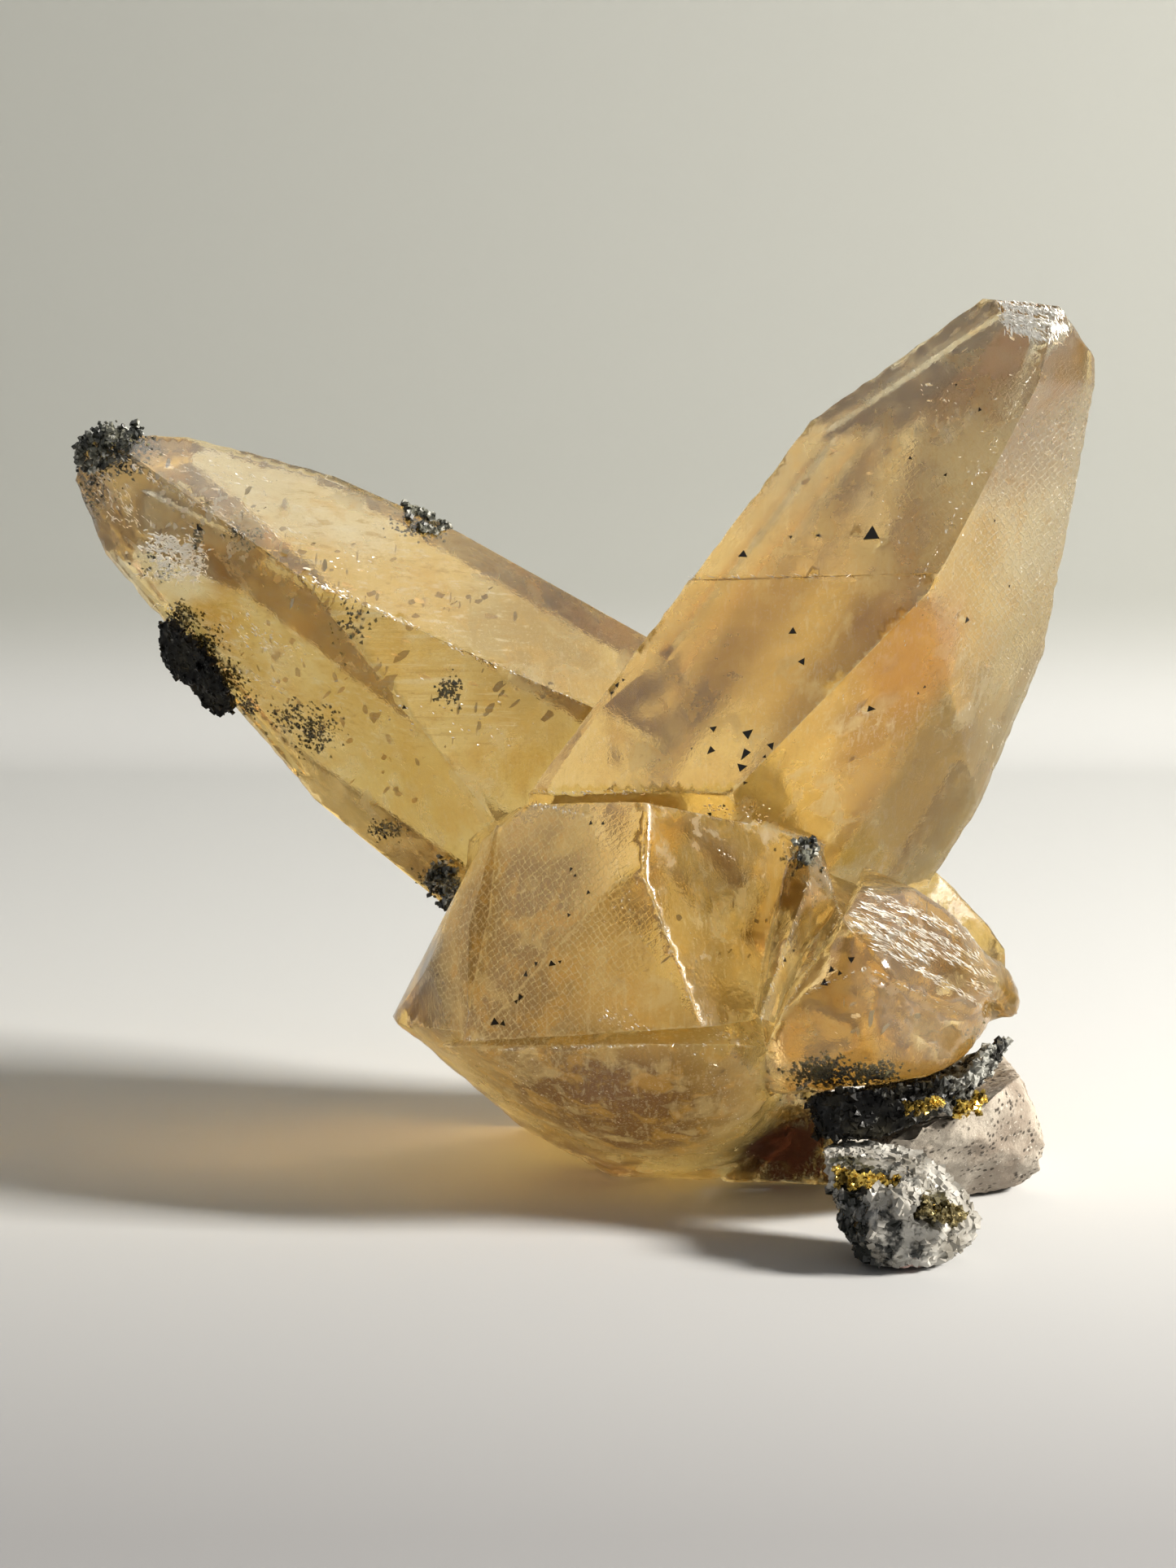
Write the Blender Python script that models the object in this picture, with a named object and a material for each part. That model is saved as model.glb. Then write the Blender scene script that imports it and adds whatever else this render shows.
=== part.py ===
"""A calcite specimen, about 105 mm across: two blade-like crystals that open in a V from a
cluster of smaller ones. Black sphalerite, brassy chalcopyrite, grey rock and a white drusy
foot sit at its lower right. Corners are given in millimetres, X right, Y back, Z up."""
import math
import random

import bmesh
import bpy
from mathutils import Euler, Matrix, Quaternion, Vector, noise

MM = 0.001
GAP = 0.3
BLOCK = 400.0
CLOSE = 1e-4
SAME_FACE = 0.01
LEDGE_REACH = 60.0

# Half sizes of the chips and pits, and of the brassy grains.
TIP_CHIP = 1.5
RIDGE_CHIP = 1.0
BASE_CHIP = 1.1
PIT = 0.9
FOOT_GRAIN = 1.25
PYRITE_GRAIN = 1.5
SEAM_GRAIN = 0.9
ROCK_GRAIN = 1.1

# A dog-tooth crystal: how deep its root sits and where its waist zigzags, as shares of its
# length.
ROOT_DEPTH = 0.25
WAIST_LOW = 0.18
WAIST_HIGH = 0.3

# Where a rough lump is cut flat: the ground, and both sides of each narrow joint between
# the rock, the seam and the foot. Each is a point and the outward direction of the face.
GROUND = ((0.0, 0.0, 0.0), (0.0, 0.0, -1.0))
SEAM_FLOOR = ((34.5, -9.0, 11.4), (-0.34, 0.1, 1.0))
ROCK_TOP = ((34.5, -9.0, 11.7), (0.34, -0.1, -1.0))
FOOT_TOP = ((26.0, -14.0, 10.0), (0.0, 0.0, -1.0))
SEAM_FOOT = ((26.0, -14.0, 9.7), (0.0, 0.0, 1.0))

# The middle of the specimen's box, which becomes the origin.
MIDDLE = (-1.2, 9.65, 0.0)

CALCITE = (0.86, 0.62, 0.27, 1.0)
ROCK = (0.50, 0.44, 0.37, 1.0)
SPHALERITE = (0.035, 0.035, 0.035, 1.0)
DOLOMITE = (0.78, 0.75, 0.70, 1.0)
BRASSY = (0.62, 0.44, 0.12, 1.0)
DRUSE = (0.16, 0.17, 0.15, 1.0)


def clear_objects():
    for thing in list(bpy.data.objects):
        bpy.data.objects.remove(thing, do_unlink=True)


def material(name, colour, roughness, metallic=0.0):
    made = bpy.data.materials.new(name)
    made.use_nodes = True
    shader = made.node_tree.nodes["Principled BSDF"]
    shader.inputs["Base Color"].default_value = colour
    shader.inputs["Roughness"].default_value = roughness
    shader.inputs["Metallic"].default_value = metallic
    return made


def to_object(name, bm, finish=None):
    """A form in millimetres becomes an object in metres."""
    bmesh.ops.scale(bm, vec=(MM, MM, MM), verts=bm.verts)
    bmesh.ops.recalc_face_normals(bm, faces=bm.faces)
    mesh = bpy.data.meshes.new(name)
    bm.to_mesh(mesh)
    bm.free()
    thing = bpy.data.objects.new(name, mesh)
    bpy.context.scene.collection.objects.link(thing)
    if finish:
        mesh.materials.append(finish)
    return thing


def between(heart, planes, grow=0.0):
    """The closed form inside planes, each a point and its outward direction."""
    bm = bmesh.new()
    bmesh.ops.create_cube(bm, size=BLOCK)
    bmesh.ops.translate(bm, vec=heart, verts=bm.verts)
    for point, outward in planes:
        everything = bm.verts[:] + bm.edges[:] + bm.faces[:]
        cut = bmesh.ops.bisect_plane(bm, geom=everything, dist=CLOSE, clear_outer=True,
                                     plane_co=point + outward * grow, plane_no=outward)
        rim = [part for part in cut["geom_cut"] if isinstance(part, bmesh.types.BMEdge)]
        if rim:
            bmesh.ops.contextual_create(bm, geom=rim)
    bmesh.ops.remove_doubles(bm, verts=bm.verts, dist=CLOSE)
    return bm


def faceted(heart, faces, grow=0.0):
    """A crystal as the space inside its faces. Each face is named by three of its corners,
    and heart is a point inside. grow moves every face outwards."""
    heart = Vector(heart)
    planes = []
    for corners in faces:
        a, b, c = (Vector(corner) for corner in corners)
        outward = (b - a).cross(c - a).normalized()
        if outward.dot(a - heart) < 0:
            outward.negate()
        planes.append((a, outward))
    return between(heart, planes, grow)


def wrapped(corners):
    """The closed form stretched round the corners."""
    bm = bmesh.new()
    for corner in corners:
        bm.verts.new(corner)
    made = bmesh.ops.convex_hull(bm, input=bm.verts)
    spare = [part for part in made["geom_interior"] if isinstance(part, bmesh.types.BMVert)]
    bmesh.ops.delete(bm, geom=spare, context="VERTS")
    bmesh.ops.dissolve_limit(bm, angle_limit=SAME_FACE, verts=bm.verts, edges=bm.edges)
    bmesh.ops.recalc_face_normals(bm, faces=bm.faces)
    return bm


def planes_of(corners):
    """The outward planes of the closed form round the corners."""
    bm = wrapped(corners)
    found = [(face.verts[0].co.copy(), face.normal.copy()) for face in bm.faces]
    bm.free()
    return found


def centre_of(corners):
    return sum((Vector(corner) for corner in corners), Vector()) / len(corners)


def hull(corners, grow=0.0):
    """A crystal as the closed form round its corners. grow moves every face outwards."""
    if grow == 0.0:
        return wrapped(corners)
    return between(centre_of(corners), planes_of(corners), grow)


def joined(base, others, operation="UNION"):
    """Join others to base, or cut them from it, and remove them."""
    for other in others:
        change = base.modifiers.new(operation.lower(), "BOOLEAN")
        change.operation = operation
        change.solver = "EXACT"
        change.object = other
        seen = base.evaluated_get(bpy.context.evaluated_depsgraph_get())
        mesh = bpy.data.meshes.new_from_object(seen)
        base.modifiers.remove(change)
        base.data = mesh
        bpy.data.objects.remove(other, do_unlink=True)
    return base


def right_blade(grow=0.0):
    """The tall blade. A broad golden face on the left, a pale etched face on the right, a
    short ledge face under its lower edge and a chisel-like tip."""
    left_foot = (-6.0, 9.0, 40.8)
    left_knee = (22.2, 14.4, 77.9)
    tip_left = (39.1, 11.7, 90.2)
    ridge_top = (44.0, 4.0, 82.2)
    ridge_middle = (33.1, -1.5, 62.0)
    ridge_foot = (14.4, -2.0, 42.7)
    tip_front = (45.4, 6.2, 87.2)
    shoulder = (50.8, 13.0, 81.4)
    right_middle = (46.8, 19.4, 53.6)
    inner = (39.8, 16.1, 39.7)
    right_low = (35.9, 18.9, 30.9)
    ledge_end = (8.8, 0.9, 42.0)
    ledge_low = (6.7, 4.0, 39.5)
    tip_chip = (46.5, 9.0, 89.5)
    tip_outer = (51.4, 15.0, 83.4)
    tip_back = (45.1, 30.0, 88.8)
    back_high = (42.0, 36.0, 76.0)
    back_middle = (30.0, 42.0, 58.0)
    back_right = (38.5, 41.0, 60.0)
    back_low = (31.0, 41.5, 42.0)
    faces = [
        (left_foot, ridge_top, ridge_foot),
        (ridge_top, ridge_middle, shoulder),
        (ridge_middle, ridge_foot, inner),
        (ridge_top, shoulder, tip_front),
        (tip_left, tip_chip, tip_back),
        (tip_chip, tip_outer, tip_back),
        (left_foot, ledge_end, ledge_low),
        (left_foot, left_knee, back_middle),
        (left_knee, tip_left, back_high),
        (shoulder, right_middle, back_right),
        (right_middle, right_low, back_low),
        (back_high, (20.0, 43.0, 44.0), back_right),
        ((0.0, 44.0, 40.0), (40.0, 43.0, 44.0), (20.0, 44.5, 14.0)),
        ((0.0, 0.0, 15.0), (40.0, 0.0, 17.0), (20.0, 40.0, 13.0)),
    ]
    return faceted((26.0, 18.0, 55.0), faces, grow)


def left_blade(grow=0.0):
    """The blade that lies over to the left, with a bent ridge along its front."""
    tip_ridge = (-49.6, 19.0, 76.4)
    ridge_bend = (-28.6, 11.0, 62.3)
    ridge_end = (-0.3, 12.5, 49.4)
    tip_top = (-46.8, 20.8, 76.8)
    crown = (-42.5, 22.2, 76.4)
    upper_bend = (-27.1, 24.0, 72.1)
    upper_middle = (-14.0, 22.9, 66.4)
    upper_end = (5.3, 21.9, 55.7)
    front_low = (-10.1, 13.0, 38.1)
    tip_corner = (-52.1, 22.8, 74.5)
    tip = (-53.2, 26.4, 71.1)
    low_tip = (-50.6, 30.3, 63.1)
    low_middle = (-29.1, 30.9, 37.2)
    low_end = (-16.4, 27.0, 27.4)
    back_tip = (-46.0, 34.0, 70.5)
    back_ridge = (-30.0, 42.0, 60.0)
    back_end = (2.0, 43.0, 44.0)
    faces = [
        (tip_ridge, ridge_bend, upper_bend),
        (ridge_bend, ridge_end, upper_middle),
        (tip_ridge, ridge_bend, front_low),
        (ridge_bend, ridge_end, front_low),
        (tip_top, crown, back_tip),
        (crown, upper_bend, (-33.0, 39.0, 66.5)),
        (upper_bend, upper_middle, (-17.0, 40.0, 59.5)),
        (upper_middle, upper_end, back_end),
        (low_tip, low_middle, (-37.0, 41.0, 54.0)),
        (low_middle, low_end, (-18.0, 43.0, 40.0)),
        (tip_ridge, tip_corner, back_tip),
        (tip_corner, tip, (-48.0, 35.0, 68.5)),
        (tip, low_tip, (-46.0, 39.0, 64.0)),
        (back_ridge, back_end, (-20.0, 43.5, 46.0)),
        ((24.0, 0.0, 48.0), (2.0, 0.0, 20.0), (24.0, 30.0, 48.0)),
        ((4.0, 0.0, 20.0), (-16.0, 0.0, 24.0), (4.0, 30.0, 19.0)),
    ]
    return faceted((-20.0, 27.0, 54.0), faces, grow)


def centre_crystal(grow=0.0):
    """The squat crystal below the two blades: a rough tan face, a golden triangle that ends
    in a point, and a broad brown face on the right."""
    apex = (5.2, -13.0, 36.3)
    base_left = (-11.5, -9.0, 19.0)
    base_right = (10.9, -15.0, 21.6)
    tan_top = (-0.2, -7.0, 41.0)
    top_middle = (5.5, -9.0, 42.5)
    top_left = (-6.1, -1.0, 41.2)
    left_low = (-11.9, -8.0, 20.0)
    tan_middle = (-1.0, -11.5, 31.0)
    left_edge = (-10.0, -3.0, 37.7)
    faces = [
        (apex, base_left, base_right),
        (tan_top, top_middle, apex),
        (top_left, left_low, tan_middle),
        (top_middle, apex, base_right),
        (left_edge, left_low, (-12.5, 12.0, 30.0)),
        (top_left, left_edge, (-9.0, 14.0, 38.0)),
        (top_left, top_middle, (2.0, 12.0, 37.0)),
        (base_left, base_right, (2.0, 12.0, 17.0)),
        ((21.0, -2.0, 38.0), (17.5, -4.0, 22.0), (24.0, 12.0, 30.0)),
        ((-12.0, 16.0, 30.0), (24.0, 16.0, 34.0), (10.0, 16.0, 18.0)),
    ]
    return faceted((6.0, 2.0, 30.0), faces, grow)


def narrow_blade(grow=0.0):
    """A thin blade that stands up against the centre crystal's right side."""
    return hull([
        (20.9, -8.0, 38.4), (19.2, -7.0, 36.5), (22.6, -6.0, 37.8), (24.2, -8.5, 32.6),
        (21.3, -11.5, 35.8), (16.3, -14.8, 22.5), (17.8, -13.6, 21.8), (16.0, -2.0, 21.0),
        (22.0, 6.0, 33.0), (18.0, 4.0, 22.0),
    ], grow)


def bottom_mass(grow=0.0):
    """The rounded body under the centre crystal, broken flat where it meets the ground."""
    return hull([
        (-11.4, -8.6, 18.6), (-4.9, -11.6, 18.3), (6.0, -14.2, 19.9), (13.8, -13.6, 19.7),
        (-11.3, 2.0, 13.5), (-16.4, 7.0, 15.0), (-5.8, 12.0, 4.5), (-3.0, -8.5, 13.0),
        (3.0, -5.0, 8.6), (11.8, -5.0, 8.6), (17.5, -2.5, 9.4), (17.3, -9.0, 18.5),
        (8.0, -11.0, 14.0), (2.5, 14.5, 0.0), (12.5, 12.5, 0.0), (20.0, 22.0, 0.0),
        (16.0, 38.0, 0.0), (-7.0, 38.0, 0.0), (-12.0, 30.0, 14.0), (18.0, 40.0, 20.0),
        (-8.0, 36.0, 26.0), (16.0, 12.0, 26.0),
    ], grow)


def left_stub(grow=0.0):
    """The blocky crystal that looks out at the lower left."""
    return hull([
        (-11.7, 3.0, 34.5), (-20.0, 12.0, 17.3), (-20.2, 12.0, 16.6), (-17.3, 8.0, 15.8),
        (-16.0, 2.0, 24.2), (-16.8, 10.0, 13.9), (-11.4, 12.0, 10.5), (-9.0, 0.0, 39.0),
        (-11.6, -6.5, 30.0), (-11.8, -7.4, 19.6), (-12.0, 26.0, 30.0), (-15.0, 26.0, 16.0),
        (-2.0, 20.0, 12.0), (0.0, 10.0, 36.0),
    ], grow)


def low_right_crystal(grow=0.0):
    """The rounded golden crystal over the dark seam."""
    return hull([
        (19.1, -12.0, 23.9), (16.9, -6.0, 12.0), (28.0, -13.0, 15.3), (36.6, -9.0, 15.7),
        (40.7, -2.0, 18.8), (26.6, -15.0, 27.7), (26.5, -16.2, 22.1), (24.3, -11.0, 31.6),
        (17.3, -9.0, 18.5), (22.0, 10.0, 14.0), (38.0, 12.0, 17.0), (38.0, 8.0, 27.0),
        (24.0, 8.0, 33.0),
    ], grow)


def cleavage_block(grow=0.0):
    """The broken block above it, whose long face glitters with cleavage."""
    return hull([
        (24.3, -12.0, 31.6), (26.6, -7.0, 34.0), (32.0, -5.0, 33.4), (37.6, -2.0, 29.3),
        (40.0, 0.0, 26.2), (41.5, 0.0, 21.3), (37.2, -8.0, 21.1), (27.9, -15.2, 26.6),
        (28.0, 12.0, 33.0), (39.5, 14.0, 24.0), (28.0, 8.0, 22.0),
    ], grow)


def right_tablet(grow=0.0):
    """The small clear tablet at the far right."""
    return hull([
        (40.7, 3.0, 26.0), (42.5, 3.0, 25.7), (44.9, 2.0, 19.8), (44.1, 1.0, 19.1),
        (42.2, 0.0, 18.2), (40.6, -0.6, 19.6), (38.0, 10.0, 24.0), (43.0, 8.0, 19.0),
        (38.0, 6.0, 19.0),
    ], grow)


def rear_crystal(grow=0.0):
    """The orange-brown crystal behind, low on the right."""
    return hull([
        (35.4, 20.0, 31.6), (39.0, 22.0, 28.2), (41.8, 22.0, 25.0), (43.5, 22.0, 22.5),
        (44.0, 22.0, 16.0), (30.0, 44.0, 26.0), (39.0, 40.0, 17.0), (24.0, 30.0, 14.0),
        (24.0, 12.0, 30.0), (24.0, 12.0, 16.0), (18.0, 42.0, 30.0), (18.0, 40.0, 16.0),
    ], grow)


def red_back_crystal(grow=0.0):
    """The dark red crystal in shadow behind the seam. It reaches the ground."""
    return hull([
        (13.2, 6.0, 9.5), (14.0, 12.2, 0.0), (26.0, 10.5, 0.0), (25.5, 4.0, 9.0),
        (20.0, 0.0, 12.6), (25.0, 30.0, 0.0), (12.0, 32.0, 0.0), (24.0, 30.0, 16.0),
        (24.0, 12.0, 17.0), (12.0, 30.0, 16.0),
    ], grow)


def dog_tooth(root, tip, width, turn):
    """A small pointed calcite crystal: six corners that zigzag round its waist, a long
    point at the tip and a short one sunk in at the root."""
    root, tip = Vector(root), Vector(tip)
    along = tip - root
    axis = along.normalized()
    side = axis.orthogonal().normalized()
    corners = [tip, root - along * ROOT_DEPTH]
    for step in range(6):
        way = Quaternion(axis, turn + step * math.pi / 3) @ side
        lift = along * (WAIST_LOW if step % 2 else WAIST_HIGH)
        corners.append(root + lift + way * width / 2)
    return hull(corners)


def back_crystals():
    """Smaller points that fill the cluster's back, below the two blades."""
    return [
        dog_tooth((2.0, 34.0, 20.0), (-13.0, 44.0, 31.0), 11.0, 0.2),
        dog_tooth((16.0, 34.0, 24.0), (9.0, 47.0, 38.0), 12.0, 0.7),
        dog_tooth((22.0, 34.0, 12.0), (33.0, 46.0, 20.0), 11.0, 0.4),
        dog_tooth((0.0, 30.0, 10.0), (-13.0, 39.0, 10.0), 9.0, 0.9),
        dog_tooth((30.0, 30.0, 22.0), (40.5, 40.0, 22.5), 8.0, 0.1),
    ]


def ledge(face, start, end, towards, depth):
    """A cutter for a growth step. Past the line from start to end, on the side of towards,
    the face lies deeper. The three spots are dropped on to the face first."""
    a, b, c = (Vector(corner) for corner in face)
    outward = (b - a).cross(c - a).normalized()
    start, end, towards = (Vector(spot) - outward * outward.dot(Vector(spot) - a)
                           for spot in (start, end, towards))
    along = (end - start).normalized()
    side = (towards - start) - along * along.dot(towards - start)
    side.normalize()
    corners = []
    for run in (-LEDGE_REACH, LEDGE_REACH):
        for out in (0.0, LEDGE_REACH):
            for lift in (-depth, depth):
                corners.append(start + along * run + side * out + outward * lift)
    return to_object("ledge", hull(corners))


def right_blade_ledges():
    """The clear upper part of the front face lies lower, and the back is stepped."""
    front = ((-6.0, 9.0, 40.8), (44.0, 4.0, 82.2), (14.4, -2.0, 42.7))
    back_left = ((-6.0, 9.0, 40.8), (22.2, 14.4, 77.9), (30.0, 42.0, 58.0))
    back_top = ((22.2, 14.4, 77.9), (39.1, 11.7, 90.2), (42.0, 36.0, 76.0))
    back_right = ((50.8, 13.0, 81.4), (46.8, 19.4, 53.6), (38.5, 41.0, 60.0))
    return [
        ledge(front, (9.5, 12.5, 62.0), (28.2, 2.2, 63.5), (30.0, 10.0, 80.0), 0.3),
        ledge(back_left, (2.0, 20.0, 46.0), (28.0, 25.0, 75.0), (12.0, 40.0, 50.0), 0.7),
        ledge(back_left, (7.0, 30.0, 46.0), (30.0, 33.0, 71.0), (12.0, 44.0, 48.0), 1.5),
        ledge(back_top, (28.0, 23.0, 80.0), (41.0, 22.0, 87.0), (42.0, 36.0, 76.0), 0.6),
        ledge(back_right, (47.6, 23.0, 76.0), (43.0, 29.0, 50.0), (36.0, 44.0, 60.0), 0.7),
    ]


def left_blade_ledges():
    """The back of the left blade is stepped too."""
    back_upper = ((-42.5, 22.2, 76.4), (-27.1, 24.0, 72.1), (-33.0, 39.0, 66.5))
    back_middle = ((-27.1, 24.0, 72.1), (-14.0, 22.9, 66.4), (-17.0, 40.0, 59.5))
    back_lower = ((-50.6, 30.3, 63.1), (-29.1, 30.9, 37.2), (-37.0, 41.0, 54.0))
    return [
        ledge(back_upper, (-44.0, 30.0, 72.5), (-26.0, 32.0, 69.0), (-33.0, 39.0, 66.5), 0.6),
        ledge(back_middle, (-30.0, 33.0, 66.0), (-8.0, 31.0, 61.0), (-17.0, 40.0, 59.5), 0.7),
        ledge(back_lower, (-46.0, 36.0, 60.0), (-27.0, 37.0, 39.0), (-37.0, 41.0, 54.0), 0.6),
    ]


def chips(spots, size, seed):
    """Small irregular cutters for broken edges and pits."""
    chance = random.Random(seed)
    shake = 0.35
    uneven = 0.3
    cutters = []
    for spot in spots:
        corners = []
        for way in ((1, 0, 0), (-1, 0, 0), (0, 1, 0), (0, -1, 0), (0, 0, 1), (0, 0, -1)):
            off = Vector([chance.uniform(-shake, shake) for axis in range(3)])
            far = size * chance.uniform(1.0 - uneven, 1.0 + uneven)
            corners.append(Vector(spot) + (Vector(way) + off) * far)
        cutters.append(to_object("chip", hull(corners)))
    return cutters


def largest_body(thing):
    """Fill the hollows that the crystals closed between them: only the outside is kept."""
    bm = bmesh.new()
    bm.from_mesh(thing.data)
    bodies = []
    left = set(bm.verts)
    while left:
        body = set()
        edge_of = [left.pop()]
        while edge_of:
            vert = edge_of.pop()
            body.add(vert)
            near = {edge.other_vert(vert) for edge in vert.link_edges}
            edge_of.extend(near - body)
            left -= near
        bodies.append(body)
    bodies.sort(key=len)
    for body in bodies[:-1]:
        bmesh.ops.delete(bm, geom=list(body), context="VERTS")
    bm.to_mesh(thing.data)
    bm.free()
    return thing


def calcite_crystals(finish):
    """All the calcite, which grew together and is one solid, with its chipped edges."""
    whole = joined(to_object("right_blade", right_blade()), right_blade_ledges(), "DIFFERENCE")
    left = joined(to_object("left_blade", left_blade()), left_blade_ledges(), "DIFFERENCE")
    shapes = [centre_crystal, bottom_mass, left_stub, narrow_blade, low_right_crystal,
              cleavage_block, right_tablet, rear_crystal, red_back_crystal]
    joined(whole, [left] + [to_object(shape.__name__, shape()) for shape in shapes])
    joined(whole, [to_object("back_crystal", shape) for shape in back_crystals()])
    tip_chips = [(40.8, 10.4, 90.6), (43.2, 8.2, 90.4), (45.8, 7.0, 89.2), (44.8, 16.0, 90.4)]
    ridge_chips = [(-46.4, 16.3, 73.9), (-42.8, 15.0, 71.8), (-38.8, 14.4, 69.8),
                   (-33.9, 12.5, 66.5), (-24.7, 10.4, 61.0), (-18.5, 10.8, 58.2)]
    base_chips = [(12.4, -15.2, 21.4), (16.8, -15.0, 21.8), (1.0, -13.2, 20.0),
                  (-8.8, -11.0, 18.8), (9.0, -15.6, 21.4), (-0.2, -7.6, 41.4)]
    pits = [(28.1, 3.7, 67.0), (37.8, 4.8, 58.6), (27.8, 1.4, 50.0), (22.8, 6.8, 66.9)]
    joined(whole, chips(tip_chips, TIP_CHIP, 21), "DIFFERENCE")
    joined(whole, chips(ridge_chips, RIDGE_CHIP, 22), "DIFFERENCE")
    joined(whole, chips(base_chips, BASE_CHIP, 23), "DIFFERENCE")
    joined(whole, chips(pits, PIT, 24), "DIFFERENCE")
    whole.name = "calcite_crystals"
    whole.data.materials.clear()
    whole.data.materials.append(finish)
    return largest_body(whole)


def reach_along(start, way, planes):
    """How far a straight line from start can run before it meets one of the planes."""
    far = BLOCK
    for point, outward in planes:
        slope = outward.dot(way)
        if slope > CLOSE:
            far = min(far, outward.dot(point - start) / slope)
    return far


def lump(name, corners, finish, relief, grain, seed, flat=(), detail=4):
    """A rough lump inside its corners. Relief goes inwards only, so the corners bound it,
    and grain is the size of its bumps. The flat faces stay smooth."""
    cell_share = 0.6
    wave_pitch = 1.7
    low = Vector([min(corner[axis] for corner in corners) for axis in range(3)])
    high = Vector([max(corner[axis] for corner in corners) for axis in range(3)])
    reach = (high - low) / 2
    middle = centre_of(corners)
    rough_planes = planes_of(corners)
    smooth_planes = [(Vector(point), Vector(way).normalized()) for point, way in flat]
    shift = Vector((seed, seed * 0.7, -seed))
    bm = bmesh.new()
    bmesh.ops.create_icosphere(bm, subdivisions=detail, radius=1.0)
    for vert in bm.verts:
        way = Vector([vert.co[axis] * reach[axis] for axis in range(3)]).normalized()
        far = reach_along(middle, way, rough_planes)
        spot = (middle + way * far) / grain + shift
        cells = noise.voronoi(spot)[0][0]
        waves = 0.5 + 0.5 * noise.fractal(spot * wave_pitch, 1.0, 2.0, 3)
        rise = cell_share * cells + (1.0 - cell_share) * waves
        far -= relief * min(max(rise, 0.0), 1.0)
        vert.co = middle + way * min(far, reach_along(middle, way, smooth_planes))
    return to_object(name, bm, finish)


def cut_clear(thing, shapes):
    """Cut the crystals out of a piece that sits against them, with the gap all round."""
    cutters = [to_object("cutter", shape(GAP)) for shape in shapes]
    return joined(thing, cutters, "DIFFERENCE")


def cluster(name, spots, size, seed, finish, hosts):
    """Small three-sided crystals grown into each other, set in a pocket of their hosts."""
    chance = random.Random(seed)
    blunt = 0.25
    length = 1.5
    grains = []
    corners = []
    for spot in spots:
        bm = bmesh.new()
        bmesh.ops.create_cone(bm, segments=3, radius1=size, radius2=blunt * size,
                              depth=length * size, cap_ends=True)
        turn = Euler([chance.uniform(0.0, math.tau) for axis in range(3)])
        for vert in bm.verts:
            vert.co.rotate(turn)
            vert.co += Vector(spot)
            corners.append(vert.co.copy())
        grains.append(to_object("grain", bm))
    whole = joined(grains[0], grains[1:])
    whole.name = name
    whole.data.materials.clear()
    whole.data.materials.append(finish)
    for host in hosts:
        joined(host, [to_object("pocket", hull(corners, GAP))], "DIFFERENCE")
    return whole


def row(start, end, count):
    """Evenly spaced spots from start to end."""
    start, end = Vector(start), Vector(end)
    return [start.lerp(end, step / (count - 1)) for step in range(count)]


def matrix_rock(finish):
    """The grey rock that the crystals grew on, under their right side."""
    rock = lump("matrix_rock", [
        (42.6, 0.4, 15.6), (44.6, 4.0, 11.0), (46.8, 4.0, 6.4), (46.6, 5.0, 2.8),
        (44.2, 9.0, -1.2), (39.2, 6.0, -1.2), (30.0, -7.4, 6.6), (26.6, -9.0, 10.0),
        (32.0, -11.2, 12.0), (37.4, -7.4, 14.6), (44.0, 28.0, -1.2), (46.4, 24.0, 8.0),
        (42.0, 26.0, 13.4), (31.0, 26.0, 12.0), (30.0, 8.0, -1.2), (29.0, 24.0, -1.2),
    ], finish, relief=0.9, grain=3.5, seed=3.0, flat=[GROUND, SEAM_FLOOR])
    return cut_clear(rock, [low_right_crystal, cleavage_block, right_tablet, rear_crystal,
                            red_back_crystal, right_blade])


def sphalerite_seam(finish):
    """The black layer between the golden crystal and the rock, thickest at its left end."""
    seam = lump("sphalerite_seam", [
        (20.6, -11.4, 14.6), (25.5, -14.4, 15.4), (34.0, -12.0, 15.6), (38.2, -8.0, 17.0),
        (41.8, -2.6, 19.0), (43.0, 0.0, 17.0), (42.0, 4.0, 14.0), (35.0, -9.6, 10.4),
        (28.5, -13.4, 9.0), (24.0, -15.4, 9.0), (21.4, -13.0, 9.0), (22.0, 0.0, 10.0),
        (34.0, 6.0, 13.0),
    ], finish, relief=0.7, grain=2.2, seed=7.0, flat=[ROCK_TOP, FOOT_TOP])
    return cut_clear(seam, [low_right_crystal, right_tablet, red_back_crystal, bottom_mass])


def drusy_foot(finish):
    """The white foot of small crystals that hangs from the seam down to the ground."""
    return lump("drusy_foot", [
        (22.2, -18.0, 10.4), (22.0, -9.0, 11.4), (26.4, -8.4, 11.4), (31.0, -12.4, 11.0),
        (34.2, -17.0, 9.4), (22.6, -10.0, 8.0), (26.0, -9.4, 7.4),
        (37.2, -20.0, 6.2), (38.2, -21.0, 3.6), (35.8, -20.0, 0.6), (22.2, -20.0, 7.4),
        (23.2, -22.0, 3.6), (29.0, -28.0, 8.4), (26.0, -27.0, 4.0), (33.4, -27.0, 4.2),
        (25.6, -22.6, -1.6), (34.2, -22.0, -1.6), (27.0, -16.0, -1.6), (34.0, -17.0, -1.6),
        (25.6, -13.8, 6.0), (34.4, -14.4, 5.0), (30.6, -26.6, 1.4),
    ], finish, relief=1.3, grain=2.6, seed=11.0, flat=[GROUND, SEAM_FOOT])


def sphalerite_crust(finish):
    """Black lumps along the left blade's lower edge, with one smoky lobe."""
    crust = lump("sphalerite_crust", [
        (-45.8, 27.0, 57.4), (-45.6, 28.0, 51.4), (-43.6, 27.0, 49.6), (-41.4, 28.0, 47.4),
        (-38.8, 28.0, 45.0), (-36.2, 26.0, 46.3), (-43.0, 22.6, 57.6), (-38.4, 21.4, 53.2),
        (-36.4, 22.0, 48.8), (-42.6, 36.0, 55.0), (-36.6, 36.0, 47.6), (-44.6, 32.0, 52.0),
    ], finish, relief=1.1, grain=2.2, seed=5.0)
    return cut_clear(crust, [left_blade])


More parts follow.
